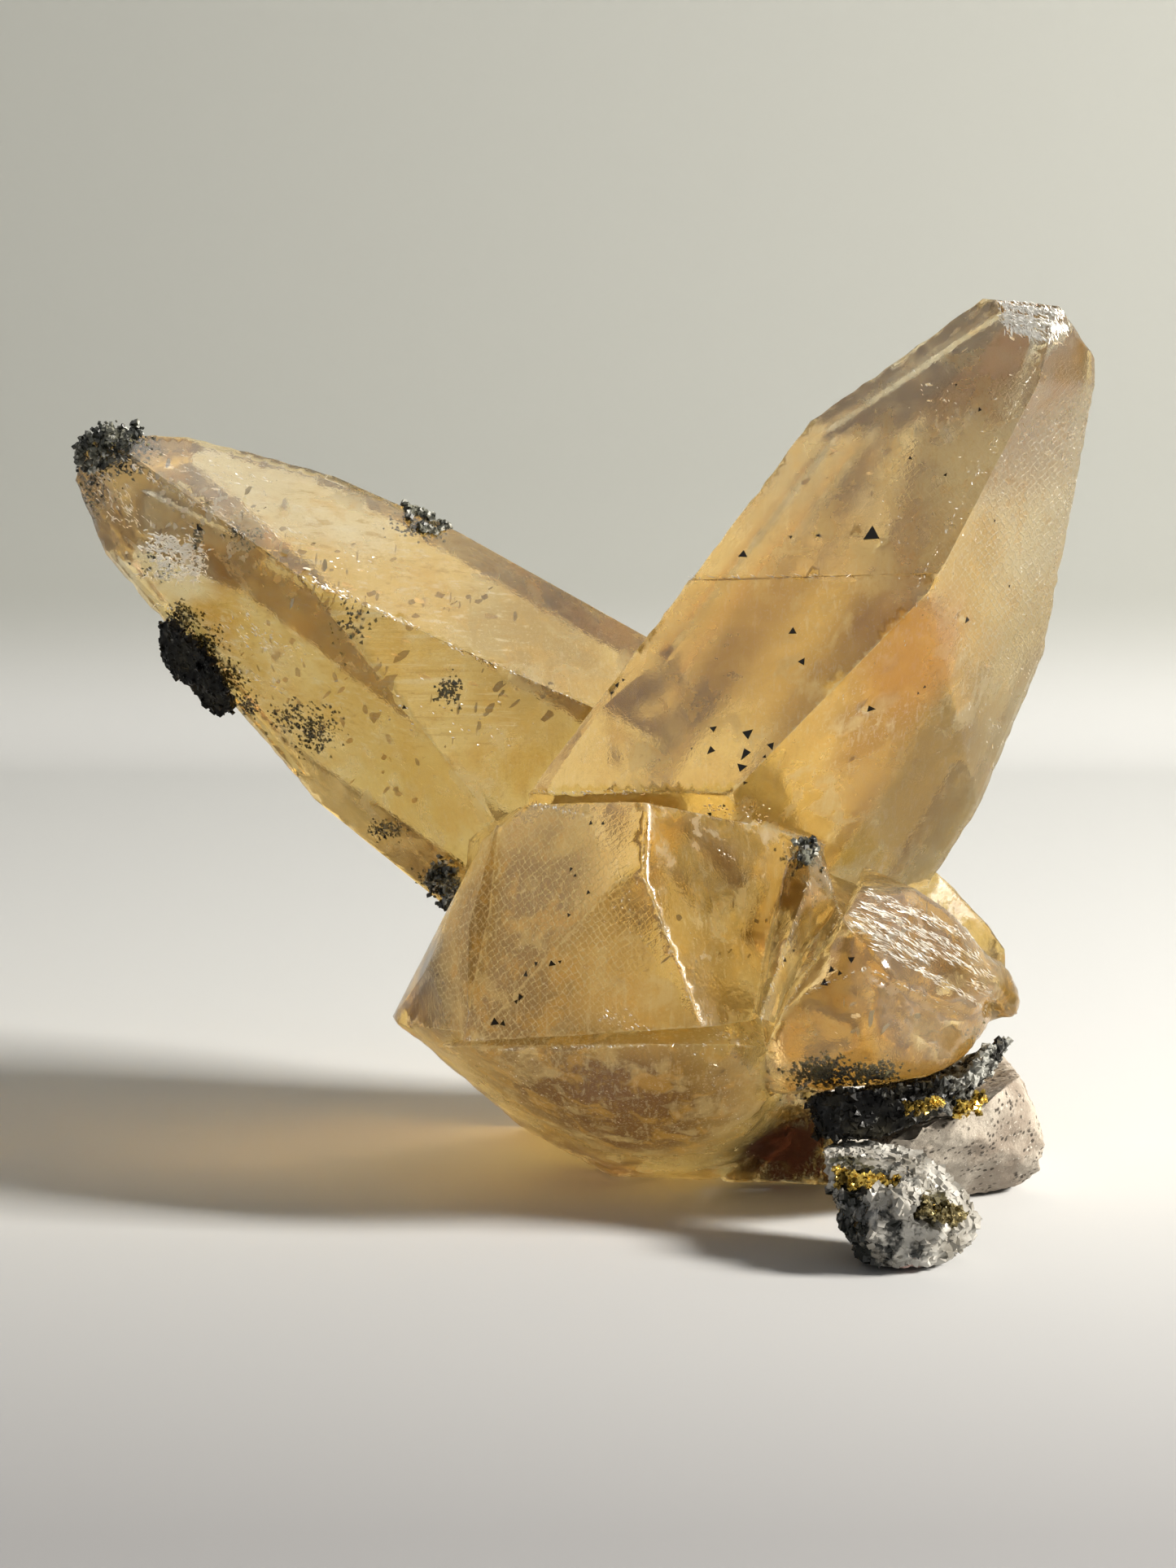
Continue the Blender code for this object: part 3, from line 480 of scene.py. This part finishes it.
# Dark specks. Three-sided crystals of sphalerite, a millimetre or less, that lie in the
# calcite's skin. Each is placed by where it is seen on the front faces.
TETRA = ([(0.94, 0.0, -0.33), (-0.47, 0.82, -0.33), (-0.47, -0.82, -0.33), (0.0, 0.0, 1.0)],
         [(0, 1, 2), (0, 3, 1), (1, 3, 2), (2, 3, 0)])
SPECKS = [
    # across, down, size in millimetres
    (1071, 657, 0.85), (1006, 658, 0.40), (913, 681, 0.55), (972, 660, 0.25),
    (1204, 504, 0.28), (1175, 473, 0.20), (1118, 563, 0.30), (1162, 584, 0.22),
    (974, 776, 0.45), (986, 813, 0.40), (1188, 762, 0.50), (877, 896, 0.50),
    (874, 922, 0.55), (919, 902, 0.70), (917, 925, 0.75), (911, 944, 0.60),
    (915, 962, 0.35), (948, 916, 0.45), (940, 930, 0.25), (758, 842, 0.35),
    (752, 852, 0.25), (766, 836, 0.20), (1069, 871, 0.50), (1136, 844, 0.30),
    (1128, 852, 0.22), (608, 1256, 0.55), (618, 1258, 0.35), (640, 1225, 0.40),
    (634, 1231, 0.25), (646, 1198, 0.38), (659, 1184, 0.30), (678, 1184, 0.35),
    (688, 1182, 0.22), (702, 1068, 0.28), (707, 1076, 0.24), (699, 1125, 0.26),
    (723, 1097, 0.26), (726, 1012, 0.28), (741, 1012, 0.22), (1013, 1208, 0.42),
    (1022, 1192, 0.40), (1046, 1179, 0.36), (1032, 1196, 0.26), (245, 649, 0.50),
    (497, 869, 0.30), (872, 1000, 0.30), (890, 990, 0.24), (964, 1180, 0.28),
    (975, 1168, 0.20), (1240, 720, 0.22), (1222, 640, 0.20), (850, 920, 0.22),
]


def strewn(name, places, form, smallest, largest, sink, seed):
    """One mesh of small crystals. Each stands at its place, turned at random, with its
    middle sunk by a share of its size."""
    chance = random.Random(seed)
    corners, sides = form
    verts, faces = [], []
    for spot, outward in places:
        size = chance.uniform(smallest, largest) * MM
        axis = Vector([chance.gauss(0.0, 1.0) for way in range(3)])
        turn = Quaternion(axis.normalized(), chance.uniform(0.0, math.tau))
        middle = spot - outward * sink * size
        first = len(verts)
        verts += [middle + turn @ Vector(corner) * size for corner in corners]
        faces += [[first + corner for corner in side] for side in sides]
    mesh = bpy.data.meshes.new(name)
    mesh.from_pydata(verts, [], faces)
    mesh.validate()
    return show(name, mesh)


def speck_mesh():
    chance = random.Random(5)
    verts, faces = [], []
    for across, down, size in SPECKS:
        spot, outward = on_crystal(across, down)
        side = outward.orthogonal().normalized()
        spin = chance.uniform(0.0, math.tau)
        first = len(verts)
        for corner in range(3):
            way = Quaternion(outward, spin + corner * math.tau / 3) @ side
            reach = size * chance.uniform(0.7, 1.3) * MM
            verts.append(spot + way * reach + outward * 0.04 * MM)
        verts.append(spot - outward * size * 0.5 * MM)
        faces += [(first, first + 1, first + 2), (first, first + 3, first + 1),
                  (first + 1, first + 3, first + 2), (first + 2, first + 3, first)]
    mesh = bpy.data.meshes.new("dark_specks")
    mesh.from_pydata(verts, [], faces)
    return mesh


def all_outward(thing):
    bm = bmesh.new()
    bm.from_mesh(thing.data)
    bmesh.ops.recalc_face_normals(bm, faces=bm.faces)
    bm.to_mesh(thing.data)
    bm.free()


dark_specks = show("dark_specks", speck_mesh())
all_outward(dark_specks)
made, tree, shader = finish("speck_black", (0.012, 0.010, 0.008), 0.45, Specular_IOR_Level=0.15)
place = node(tree, "ShaderNodeTexCoord").outputs["Object"]
grey = fractal(tree, place, 900.0)
tree.links.new(mixed(tree, grey, (0.003, 0.002, 0.002), (0.022, 0.017, 0.012)),
               shader.inputs["Base Color"])
dark_specks.data.materials.append(made)
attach(dark_specks, "root")

# Moss. Clouds of tiny dark green and black grains just under the calcite's skin: on the
# left blade's lower side and at its ends, and over the dark seam.
MOSS = [
    # across, down, half width, half height, grains
    (222, 762, 16, 12, 260), (246, 796, 18, 18, 420), (272, 836, 18, 20, 420),
    (300, 872, 14, 14, 160),
    (385, 900, 22, 22, 330), (350, 885, 16, 14, 120), (130, 560, 34, 26, 520),
    (112, 610, 14, 30, 160), (170, 540, 30, 12, 150), (520, 640, 26, 14, 300),
    (470, 1022, 16, 9, 140), (540, 1082, 18, 14, 260), (553, 850, 14, 16, 110),
    (1010, 1322, 34, 16, 620), (1075, 1330, 34, 12, 520), (1050, 1345, 50, 10, 420),
    (985, 1050, 16, 12, 200), (240, 660, 6, 12, 50), (300, 655, 24, 6, 60),
    (190, 700, 18, 20, 60), (430, 770, 30, 30, 60), (1216, 1290, 16, 18, 260),
]


def moss_places():
    chance = random.Random(8)
    for across, down, wide, tall, grains in MOSS:
        for grain in range(grains):
            pick = (across + chance.gauss(0.0, 0.6) * wide, down + chance.gauss(0.0, 0.6) * tall)
            spot, outward, face, far = surface.ray_cast(EYE, towards(*pick))
            if spot:
                yield spot - outward * chance.uniform(0.1, 1.6) ** 2 * MM, outward


moss = strewn("moss", moss_places(), TETRA, 0.10, 0.32, 0.0, 9)
made, tree, shader = finish("moss_green", (0.05, 0.05, 0.02), 0.7)
place = node(tree, "ShaderNodeTexCoord").outputs["Object"]
tree.links.new(mixed(tree, ramp(tree, fractal(tree, place, 500.0), 0.35, 0.65),
                     (0.010, 0.012, 0.008), (0.13, 0.12, 0.05)), shader.inputs["Base Color"])
moss.data.materials.append(made)
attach(moss, "root")

# Veils. Broken flakes of light along the calcite's three cleavage directions, inside the
# crystals: the cracks that glitter when the specimen is turned.
CLEAVAGE = [Vector((0.52, -0.30, 0.80)), Vector((-0.75, -0.45, 0.48)), Vector((0.20, 0.85, 0.50))]
VEILS = [
    # across, down, half width, half height, flakes, size
    (200, 640, 70, 50, 40, 1.3), (300, 645, 50, 26, 26, 1.8), (350, 700, 90, 50, 40, 1.5),
    (330, 830, 60, 50, 34, 1.6), (430, 700, 70, 40, 26, 1.4), (450, 860, 90, 70, 34, 1.8),
    (600, 860, 80, 60, 26, 1.5), (560, 730, 90, 30, 26, 1.5), (480, 960, 60, 50, 20, 1.4),
    (1160, 500, 60, 60, 22, 1.3), (1270, 395, 36, 20, 40, 0.9), (1050, 560, 70, 50, 16, 1.3),
    (1250, 700, 60, 140, 26, 1.2), (800, 1180, 60, 60, 12, 1.2), (930, 1150, 50, 70, 12, 1.2),
    (1130, 1130, 60, 30, 22, 1.2), (900, 1272, 24, 8, 26, 0.6), (770, 1400, 80, 30, 14, 1.0),
    (1080, 1260, 80, 50, 14, 1.2), (1000, 900, 120, 60, 10, 1.0),
]


def veil_mesh():
    chance = random.Random(31)
    verts, faces = [], []
    thin = 0.02 * MM
    for across, down, wide, tall, flakes, size in VEILS:
        for flake in range(flakes):
            pick = (across + chance.gauss(0.0, 0.5) * wide, down + chance.gauss(0.0, 0.5) * tall)
            spot, outward, face, far = surface.ray_cast(EYE, towards(*pick))
            if not spot:
                continue
            middle = spot - outward * chance.uniform(0.5, 5.0) * MM
            flat = chance.choice(CLEAVAGE).normalized()
            side = flat.orthogonal().normalized()
            spin = chance.uniform(0.0, math.tau)
            points = chance.randint(5, 8)
            long = size * chance.uniform(0.15, 0.7) * MM
            slim = chance.uniform(0.12, 0.6)
            first = len(verts)
            for step in range(points):
                turn = spin + step * math.tau / points
                way = side * math.cos(turn) + flat.cross(side) * math.sin(turn) * slim
                verts.append(middle + way * long * chance.uniform(0.6, 1.2))
            verts += [middle + flat * thin, middle - flat * thin]
            for step in range(points):
                a, b = first + step, first + (step + 1) % points
                faces += [(a, b, first + points), (b, a, first + points + 1)]
    mesh = bpy.data.meshes.new("veils")
    mesh.from_pydata(verts, [], faces)
    return mesh


veils = show("veils", veil_mesh())
made, tree, shader = finish("veil", (1.0, 0.95, 0.82), 0.3, Transmission_Weight=0.3, IOR=1.3)
place = node(tree, "ShaderNodeTexCoord").outputs["Object"]
tree.links.new(mixed(tree, fractal(tree, place, 300.0), (0.98, 0.80, 0.48), (1.0, 0.98, 0.93)),
               shader.inputs["Base Color"])
veils.data.materials.append(made)
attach(veils, "root")

# Chips. White hairline chips and cleavage steps on the calcite's skin, where ridges are
# bruised and where pieces broke away. Each is a thin flake that lies on the face.
CHIPS = [
    # from across, down, to across, down, half width, flakes, half length in millimetres, slimness
    (372, 711, 436, 736, 5, 46, 0.40, 0.35), (436, 736, 560, 796, 3, 60, 0.40, 0.25),
    (560, 796, 719, 865, 3, 60, 0.35, 0.25), (124, 544, 203, 598, 3, 40, 0.45, 0.25),
    (203, 598, 309, 663, 3, 34, 0.40, 0.25), (168, 706, 251, 714, 2, 36, 0.80, 0.10),
    (187, 742, 216, 748, 2, 14, 0.40, 0.20), (133, 634, 171, 640, 2, 16, 0.40, 0.20),
    (325, 790, 382, 806, 7, 26, 0.60, 0.14), (296, 822, 353, 852, 7, 26, 0.60, 0.14),
    (258, 622, 366, 664, 16, 60, 0.60, 0.10), (400, 690, 455, 690, 10, 20, 0.40, 0.30),
    (186, 668, 246, 676, 16, 260, 0.60, 0.30), (190, 694, 250, 700, 12, 200, 0.60, 0.25),
    (118, 590, 170, 640, 18, 110, 0.50, 0.16), (180, 560, 330, 590, 16, 90, 0.40, 0.14),
    (290, 760, 330, 790, 16, 60, 0.50, 0.25), (480, 880, 620, 900, 30, 30, 0.35, 0.35),
    (1230, 374, 1308, 386, 6, 260, 0.50, 0.30), (1234, 390, 1310, 404, 6, 300, 0.60, 0.26),
    (1244, 404, 1290, 416, 5, 110, 0.60, 0.20), (1236, 372, 1244, 410, 5, 80, 0.60, 0.20),
    (1262, 372, 1268, 414, 6, 80, 0.60, 0.20), (1290, 380, 1296, 414, 6, 80, 0.60, 0.20),
    (1273, 452, 1221, 544, 2, 26, 0.35, 0.20), (1221, 544, 1125, 724, 2, 44, 0.35, 0.20),
    (1130, 470, 1190, 530, 20, 20, 0.30, 0.30), (1075, 610, 1135, 700, 26, 26, 0.16, 0.60),
    (1240, 500, 1335, 560, 30, 60, 0.35, 0.22), (1200, 560, 1330, 640, 34, 90, 0.35, 0.22),
    (1180, 640, 1310, 760, 36, 110, 0.35, 0.22), (1180, 760, 1290, 860, 34, 90, 0.35, 0.22),
    (1190, 860, 1240, 930, 20, 40, 0.35, 0.22), (838, 711, 1060, 707, 1, 26, 0.90, 0.06),
    (655, 974, 795, 974, 2, 50, 0.40, 0.20), (650, 985, 720, 1002, 3, 40, 0.35, 0.30),
    (793, 986, 791, 1074, 1, 14, 0.40, 0.12), (755, 1116, 790, 1076, 1, 10, 0.35, 0.12),
    (790, 1076, 853, 1239, 1, 30, 0.40, 0.12), (735, 1240, 810, 1276, 12, 60, 0.30, 0.35),
    (566, 1275, 600, 1280, 3, 14, 0.30, 0.30), (600, 1290, 870, 1283, 2, 60, 0.35, 0.20),
    (872, 1266, 935, 1284, 7, 60, 0.28, 0.45), (866, 990, 940, 1006, 12, 60, 0.26, 0.45),
    (997, 1081, 934, 1255, 2, 40, 0.40, 0.16), (1032, 1126, 952, 1263, 2, 40, 0.40, 0.16),
    (1006, 1050, 1034, 1126, 2, 24, 0.35, 0.16), (967, 1229, 1067, 1189, 2, 26, 0.35, 0.20),
    (1067, 1189, 1193, 1252, 2, 36, 0.35, 0.20), (1066, 1098, 1190, 1150, 5, 160, 1.10, 0.07),
    (1058, 1110, 1205, 1178, 5, 200, 1.20, 0.06), (1052, 1124, 1215, 1200, 5, 200, 1.20, 0.06),
    (1046, 1134, 1140, 1180, 5, 140, 1.10, 0.06), (1190, 1205, 1225, 1228, 5, 60, 1.00, 0.06),
    (1075, 1160, 1215, 1240, 4, 130, 1.10, 0.06),
    (1232, 1176, 1268, 1240, 5, 20, 0.35, 0.30), (880, 1045, 905, 1056, 4, 14, 0.22, 0.60),
    (600, 1310, 860, 1400, 40, 130, 0.22, 0.40), (870, 1300, 920, 1400, 16, 110, 0.24, 0.45),
    (740, 1120, 860, 1210, 40, 26, 0.18, 0.50), (960, 1030, 1010, 1060, 8, 16, 0.20, 0.60),
    (590, 1050, 700, 1200, 34, 50, 0.30, 0.12), (1040, 880, 1170, 700, 16, 26, 0.40, 0.08),
]


LAMPWARD = Vector((0.95, -0.20, 0.50))
SUNK, RIDGE, KEEL = 0.05 * MM, 0.03 * MM, 0.10 * MM


def chip_mesh():
    chance = random.Random(77)
    verts, faces = [], []
    for x0, y0, x1, y1, wide, flakes, long, slim in CHIPS:
        a, b = on_crystal(x0, y0)[0], on_crystal(x1, y1)[0]
        along = (b - a).normalized()
        for flake in range(flakes):
            share = chance.random()
            across = x0 + (x1 - x0) * share + chance.gauss(0.0, 0.6) * wide
            down = y0 + (y1 - y0) * share + chance.gauss(0.0, 0.6) * wide
            spot, outward, face, far = surface.ray_cast(EYE, towards(across, down))
            if not spot:
                continue
            flat = (outward + Vector([chance.gauss(0.0, 0.35) for way in range(3)])
                    + LAMPWARD).normalized()
            forward = (along - flat * along.dot(flat)).normalized()
            side = flat.cross(forward)
            length = long * chance.uniform(0.3, 1.0) * MM
            corners = chance.randint(5, 8)
            spin = chance.uniform(0.0, math.tau)
            first = len(verts)
            for step in range(corners):
                turn = spin + step * math.tau / corners
                reach = chance.uniform(0.6, 1.1) * length
                verts.append(spot + forward * math.cos(turn) * reach
                             + side * math.sin(turn) * reach * slim - flat * SUNK)
            verts += [spot + flat * RIDGE, spot - flat * KEEL]
            for step in range(corners):
                m, n = first + step, first + (step + 1) % corners
                faces += [(m, n, first + corners), (n, m, first + corners + 1)]
    mesh = bpy.data.meshes.new("chips")
    mesh.from_pydata(verts, [], faces)
    return mesh


chips = show("chips", chip_mesh())
made, tree, shader = finish("bruised_calcite", (0.98, 0.94, 0.84), 0.38, Metallic=0.65)
place = node(tree, "ShaderNodeTexCoord").outputs["Object"]
tree.links.new(mixed(tree, fractal(tree, place, 260.0), (0.98, 0.93, 0.80), (1.0, 0.99, 0.97)),
               shader.inputs["Base Color"])
chips.data.materials.append(made)
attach(chips, "root")

# Matrix rock. Grey-tan granular rock with fine pores, broken out of the vein wall. Its
# pores' shade is painted as dark spots, and its grains' glints as pale spots. The
# specimen grew on it, and the black seam joins it to the golden crystal.
def roughened(name, source, longest, relief, grain, sharp=30.0):
    """A finer copy of a solid's mesh, with its relief worn inwards in cells of grain mm."""
    bm = refined(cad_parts[source].data, longest * MM)
    bm.normal_update()
    inward = {vert: -vert.normal for vert in bm.verts}
    for vert in bm.verts:
        spot = vert.co / MM / grain
        cells = noise.voronoi(spot)[0]
        rims = 1.0 - min(cells[1] - cells[0], 1.0)
        swells = 0.5 + 0.5 * noise.noise(spot * 2.3)
        depth = 0.6 * rims + 0.4 * swells
        vert.co += inward[vert] * depth * relief * MM
    mesh = bpy.data.meshes.new(name)
    bm.to_mesh(mesh)
    bm.free()
    mesh.validate()
    mesh.materials.clear()
    mesh.shade_smooth()
    mesh.set_sharp_from_angle(angle=math.radians(sharp))
    return show(name, mesh)


rock = roughened("granular_rock", "matrix_rock", 0.7, 0.45, 0.9)
made, tree, shader = finish("rock", (0.50, 0.45, 0.38), 0.9)
place = node(tree, "ShaderNodeTexCoord").outputs["Object"]
colour = mixed(tree, ramp(tree, fractal(tree, place, 180.0), 0.35, 0.65),
               (0.33, 0.27, 0.21), (0.52, 0.46, 0.38))
# Fine pits: their shade is painted as small dark spots.
pores = node(tree, "ShaderNodeTexVoronoi", {"Vector": place, "Scale": 1500.0}).outputs["Distance"]
painted_pit_shade = maths(tree, "MULTIPLY", ramp(tree, pores, 0.42, 0.22),
               ramp(tree, fractal(tree, place, 330.0), 0.42, 0.55))
colour = mixed(tree, painted_pit_shade, colour, (0.07, 0.055, 0.04))
# Painted glints: small pale spots where the grains catch the light.
painted_glints = fractal(tree, place, 2600.0, 2.0)
colour = mixed(tree, ramp(tree, painted_glints, 0.62, 0.72), colour, (0.70, 0.64, 0.55))
tree.links.new(colour, shader.inputs["Base Color"])
bump = node(tree, "ShaderNodeBump", {"Height": fractal(tree, place, 1800.0, 5.0, 0.7),
                                     "Strength": 0.8, "Distance": 0.25 * MM})
tree.links.new(bump.outputs["Normal"], shader.inputs["Normal"])
rock.data.materials.append(made)
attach(rock, "root")
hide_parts("matrix_rock")

# Sphalerite. The black seam under the golden crystal and the black crust on the left
# blade: resinous crystals with small bright faces, grown over each other.
OCTA = ([(1, 0, 0), (-1, 0, 0), (0, 1, 0), (0, -1, 0), (0, 0, 1), (0, 0, -1)],
        [(0, 2, 4), (2, 1, 4), (1, 3, 4), (3, 0, 4), (2, 0, 5), (1, 2, 5), (3, 1, 5), (0, 3, 5)])


def spots_on(thing, count, seed, keep=None):
    """Random spots on a piece's faces, each with its outward direction."""
    chance = random.Random(seed)
    mesh = thing.data
    mesh.calc_loop_triangles()
    tris = list(mesh.loop_triangles)
    weights = [tri.area for tri in tris]
    found = []
    while len(found) < count:
        tri = chance.choices(tris, weights)[0]
        a, b, c = (mesh.vertices[corner].co for corner in tri.vertices)
        u, v = sorted((chance.random(), chance.random()))
        spot = a * u + b * (v - u) + c * (1.0 - v)
        if keep is None or keep(spot):
            found.append((spot, tri.normal.copy()))
        else:
            count -= 0.5
    return found


def joined_pieces(name, things):
    """One piece of several."""
    whole = bmesh.new()
    for thing in things:
        whole.from_mesh(thing.data)
        bpy.data.objects.remove(thing, do_unlink=True)
    mesh = bpy.data.meshes.new(name)
    whole.to_mesh(mesh)
    whole.free()
    mesh.validate()
    return show(name, mesh)


def resinous(name):
    made, tree, shader = finish(name, (0.012, 0.012, 0.012), 0.28, Specular_IOR_Level=0.15)
    place = node(tree, "ShaderNodeTexCoord").outputs["Object"]
    tree.links.new(mixed(tree, ramp(tree, fractal(tree, place, 400.0), 0.4, 0.7),
                         (0.003, 0.003, 0.003), (0.028, 0.025, 0.016)), shader.inputs["Base Color"])
    tree.links.new(ramp(tree, fractal(tree, place, 900.0), 0.3, 0.7, 0.18, 0.6),
                   shader.inputs["Roughness"])
    bump = node(tree, "ShaderNodeBump", {"Height": fractal(tree, place, 1200.0), "Strength": 0.5,
                                         "Distance": 0.2 * MM})
    tree.links.new(bump.outputs["Normal"], shader.inputs["Normal"])
    return made


black = resinous("sphalerite_black")
tree = black.node_tree
shader = tree.nodes["Principled BSDF"]
place = node(tree, "ShaderNodeTexCoord").outputs["Object"]
reach = node(tree, "ShaderNodeSeparateXYZ", {"Vector": place}).outputs["X"]
pale = maths(tree, "MULTIPLY", ramp(tree, reach, 0.0345, 0.0385),
             ramp(tree, fractal(tree, place, 420.0, 5.0, 0.65), 0.42, 0.56))
mottle = ramp(tree, fractal(tree, place, 700.0, 5.0, 0.7), 0.62, 0.70, 0.0, 0.6)
colour = mixed(tree, maths(tree, "MAXIMUM", pale, mottle),
               shader.inputs["Base Color"].links[0].from_socket, (0.42, 0.42, 0.38))
tree.links.new(colour, shader.inputs["Base Color"])
for name, source, count, seed in (("black_seam", "sphalerite_seam", 1900, 41),
                                  ("black_crust", "sphalerite_crust", 700, 42)):
    base = roughened(name + "_base", source, 0.6, 0.75, 1.0, 18.0)
    grains = strewn(name + "_grains", spots_on(base, count, seed), OCTA, 0.18, 0.60, 0.35, seed)
    piece = joined_pieces(name, [base, grains])
    piece.data.materials.append(black)
    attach(piece, "root")
    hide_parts(source)

# White foot. Sparkling dolomite: small leaning rhombs on a lump, dark with mossy black
# grains at its lower left.
RHOMB = ([(-1, -1, -0.75), (0.7, -1, -0.95), (1, 0.7, -0.7), (-0.7, 0.7, -0.5),
          (-0.7, -0.7, 0.55), (1, -0.7, 0.35), (1.2, 1, 0.75), (-0.45, 1, 0.95)],
         [(3, 2, 1, 0), (4, 5, 6, 7), (0, 1, 5, 4), (1, 2, 6, 5), (2, 3, 7, 6), (3, 0, 4, 7)])
foot_base = roughened("foot_base", "drusy_foot", 0.7, 0.5, 1.3)
foot_places = spots_on(foot_base, 1500, 51, lambda spot: spot.z > 0.9 * MM)
foot_crystals = strewn("foot_crystals", foot_places, RHOMB, 0.16, 0.52, 0.45, 52)
white_foot = joined_pieces("white_foot", [foot_base, foot_crystals])
made, tree, shader = finish("dolomite", (0.80, 0.78, 0.74), 0.35)
place = node(tree, "ShaderNodeTexCoord").outputs["Object"]
colour = mixed(tree, ramp(tree, fractal(tree, place, 260.0), 0.35, 0.65),
               (0.26, 0.24, 0.20), (0.58, 0.56, 0.51))
inch = node(tree, "ShaderNodeVectorMath", {0: place, "Scale": 1.0 / MM},
            operation="SCALE").outputs["Vector"]
for middle, size, tone in (((27.0, -31.0, 2.6), 6.6, (0.010, 0.012, 0.009)),
                           ((26.5, -28.0, 8.5), 2.6, (0.05, 0.045, 0.02)),
                           ((34.5, -34.0, 6.5), 2.6, (0.10, 0.085, 0.04)),
                           ((31.0, -31.5, 0.5), 3.0, (0.62, 0.42, 0.36))):
    far = node(tree, "ShaderNodeVectorMath", {0: inch, 1: middle}, operation="DISTANCE")
    broken = maths(tree, "ADD", far.outputs["Value"],
                   ramp(tree, fractal(tree, place, 420.0), 0.3, 0.7, -size * 0.5, size * 0.5))
    colour = mixed(tree, ramp(tree, broken, size, size * 0.6), colour, tone)
tree.links.new(colour, shader.inputs["Base Color"])
tree.links.new(ramp(tree, fractal(tree, place, 700.0), 0.3, 0.7, 0.15, 0.6),
               shader.inputs["Roughness"])
white_foot.data.materials.append(made)
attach(white_foot, "root")
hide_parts("drusy_foot")

# Chalcopyrite and pyrite. Bright brassy grains, half a millimetre across, grown over each
# other on the foot, in the seam and on the rock's top.
def brassy_finish(name, light, dark):
    made, tree, shader = finish(name, light, 0.25, Metallic=1.0)
    place = node(tree, "ShaderNodeTexCoord").outputs["Object"]
    tree.links.new(mixed(tree, ramp(tree, fractal(tree, place, 700.0), 0.4, 0.65), light, dark),
                   shader.inputs["Base Color"])
    tree.links.new(ramp(tree, fractal(tree, place, 1500.0), 0.3, 0.7, 0.15, 0.45),
                   shader.inputs["Roughness"])
    return made


chalcopyrite = brassy_finish("chalcopyrite", (0.66, 0.46, 0.10), (0.09, 0.06, 0.015))
pyrite = brassy_finish("olive_pyrite", (0.34, 0.28, 0.14), (0.08, 0.065, 0.03))
for source, count, metal, seed in (("foot_chalcopyrite", 260, chalcopyrite, 61),
                                   ("foot_pyrite", 320, pyrite, 62),
                                   ("seam_chalcopyrite", 160, chalcopyrite, 63),
                                   ("rock_chalcopyrite", 160, chalcopyrite, 64)):
    base = roughened(source + "_base", source, 0.5, 0.2, 0.6, 15.0)
    grains = strewn(source + "_grains", spots_on(base, count, seed), OCTA, 0.14, 0.42, 0.5, seed)
    piece = joined_pieces("fine_" + source, [base, grains])
    piece.data.materials.append(metal)
    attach(piece, "root")
    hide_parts(source)

# Dark druse. Crusts of tiny grey and black crystals on the left blade's tip and upper
# edge, at its root and on the narrow blade. They stand on the calcite and on each other.
def crust_places(source, count, seed):
    chance = random.Random(seed)
    for spot, outward in spots_on(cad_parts[source], count, seed):
        foot, way, face, far = surface.find_nearest(spot)
        if noise.noise(spot / MM * 0.9) > -0.10:
            yield foot.lerp(spot, chance.random()), outward


made, tree, shader = finish("dark_druse", (0.10, 0.10, 0.08), 0.4)
place = node(tree, "ShaderNodeTexCoord").outputs["Object"]
colour = mixed(tree, ramp(tree, fractal(tree, place, 450.0), 0.40, 0.60),
               (0.012, 0.014, 0.009), (0.22, 0.22, 0.17))
colour = mixed(tree, ramp(tree, fractal(tree, place, 900.0), 0.56, 0.66), colour,
               (0.66, 0.66, 0.60))
tree.links.new(colour, shader.inputs["Base Color"])
for source, count, seed in (("tip_druse", 1000, 71), ("edge_druse", 560, 72),
                            ("root_druse", 800, 73), ("blade_druse", 200, 74)):
    piece = strewn("fine_" + source, crust_places(source, count, seed), RHOMB, 0.10, 0.30, 0.4,
                   seed)
    piece.data.materials.append(made)
    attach(piece, "root")
    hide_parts(source)

[[list(map(float, corner)) for corner in box] for box in (cad_box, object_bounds())]
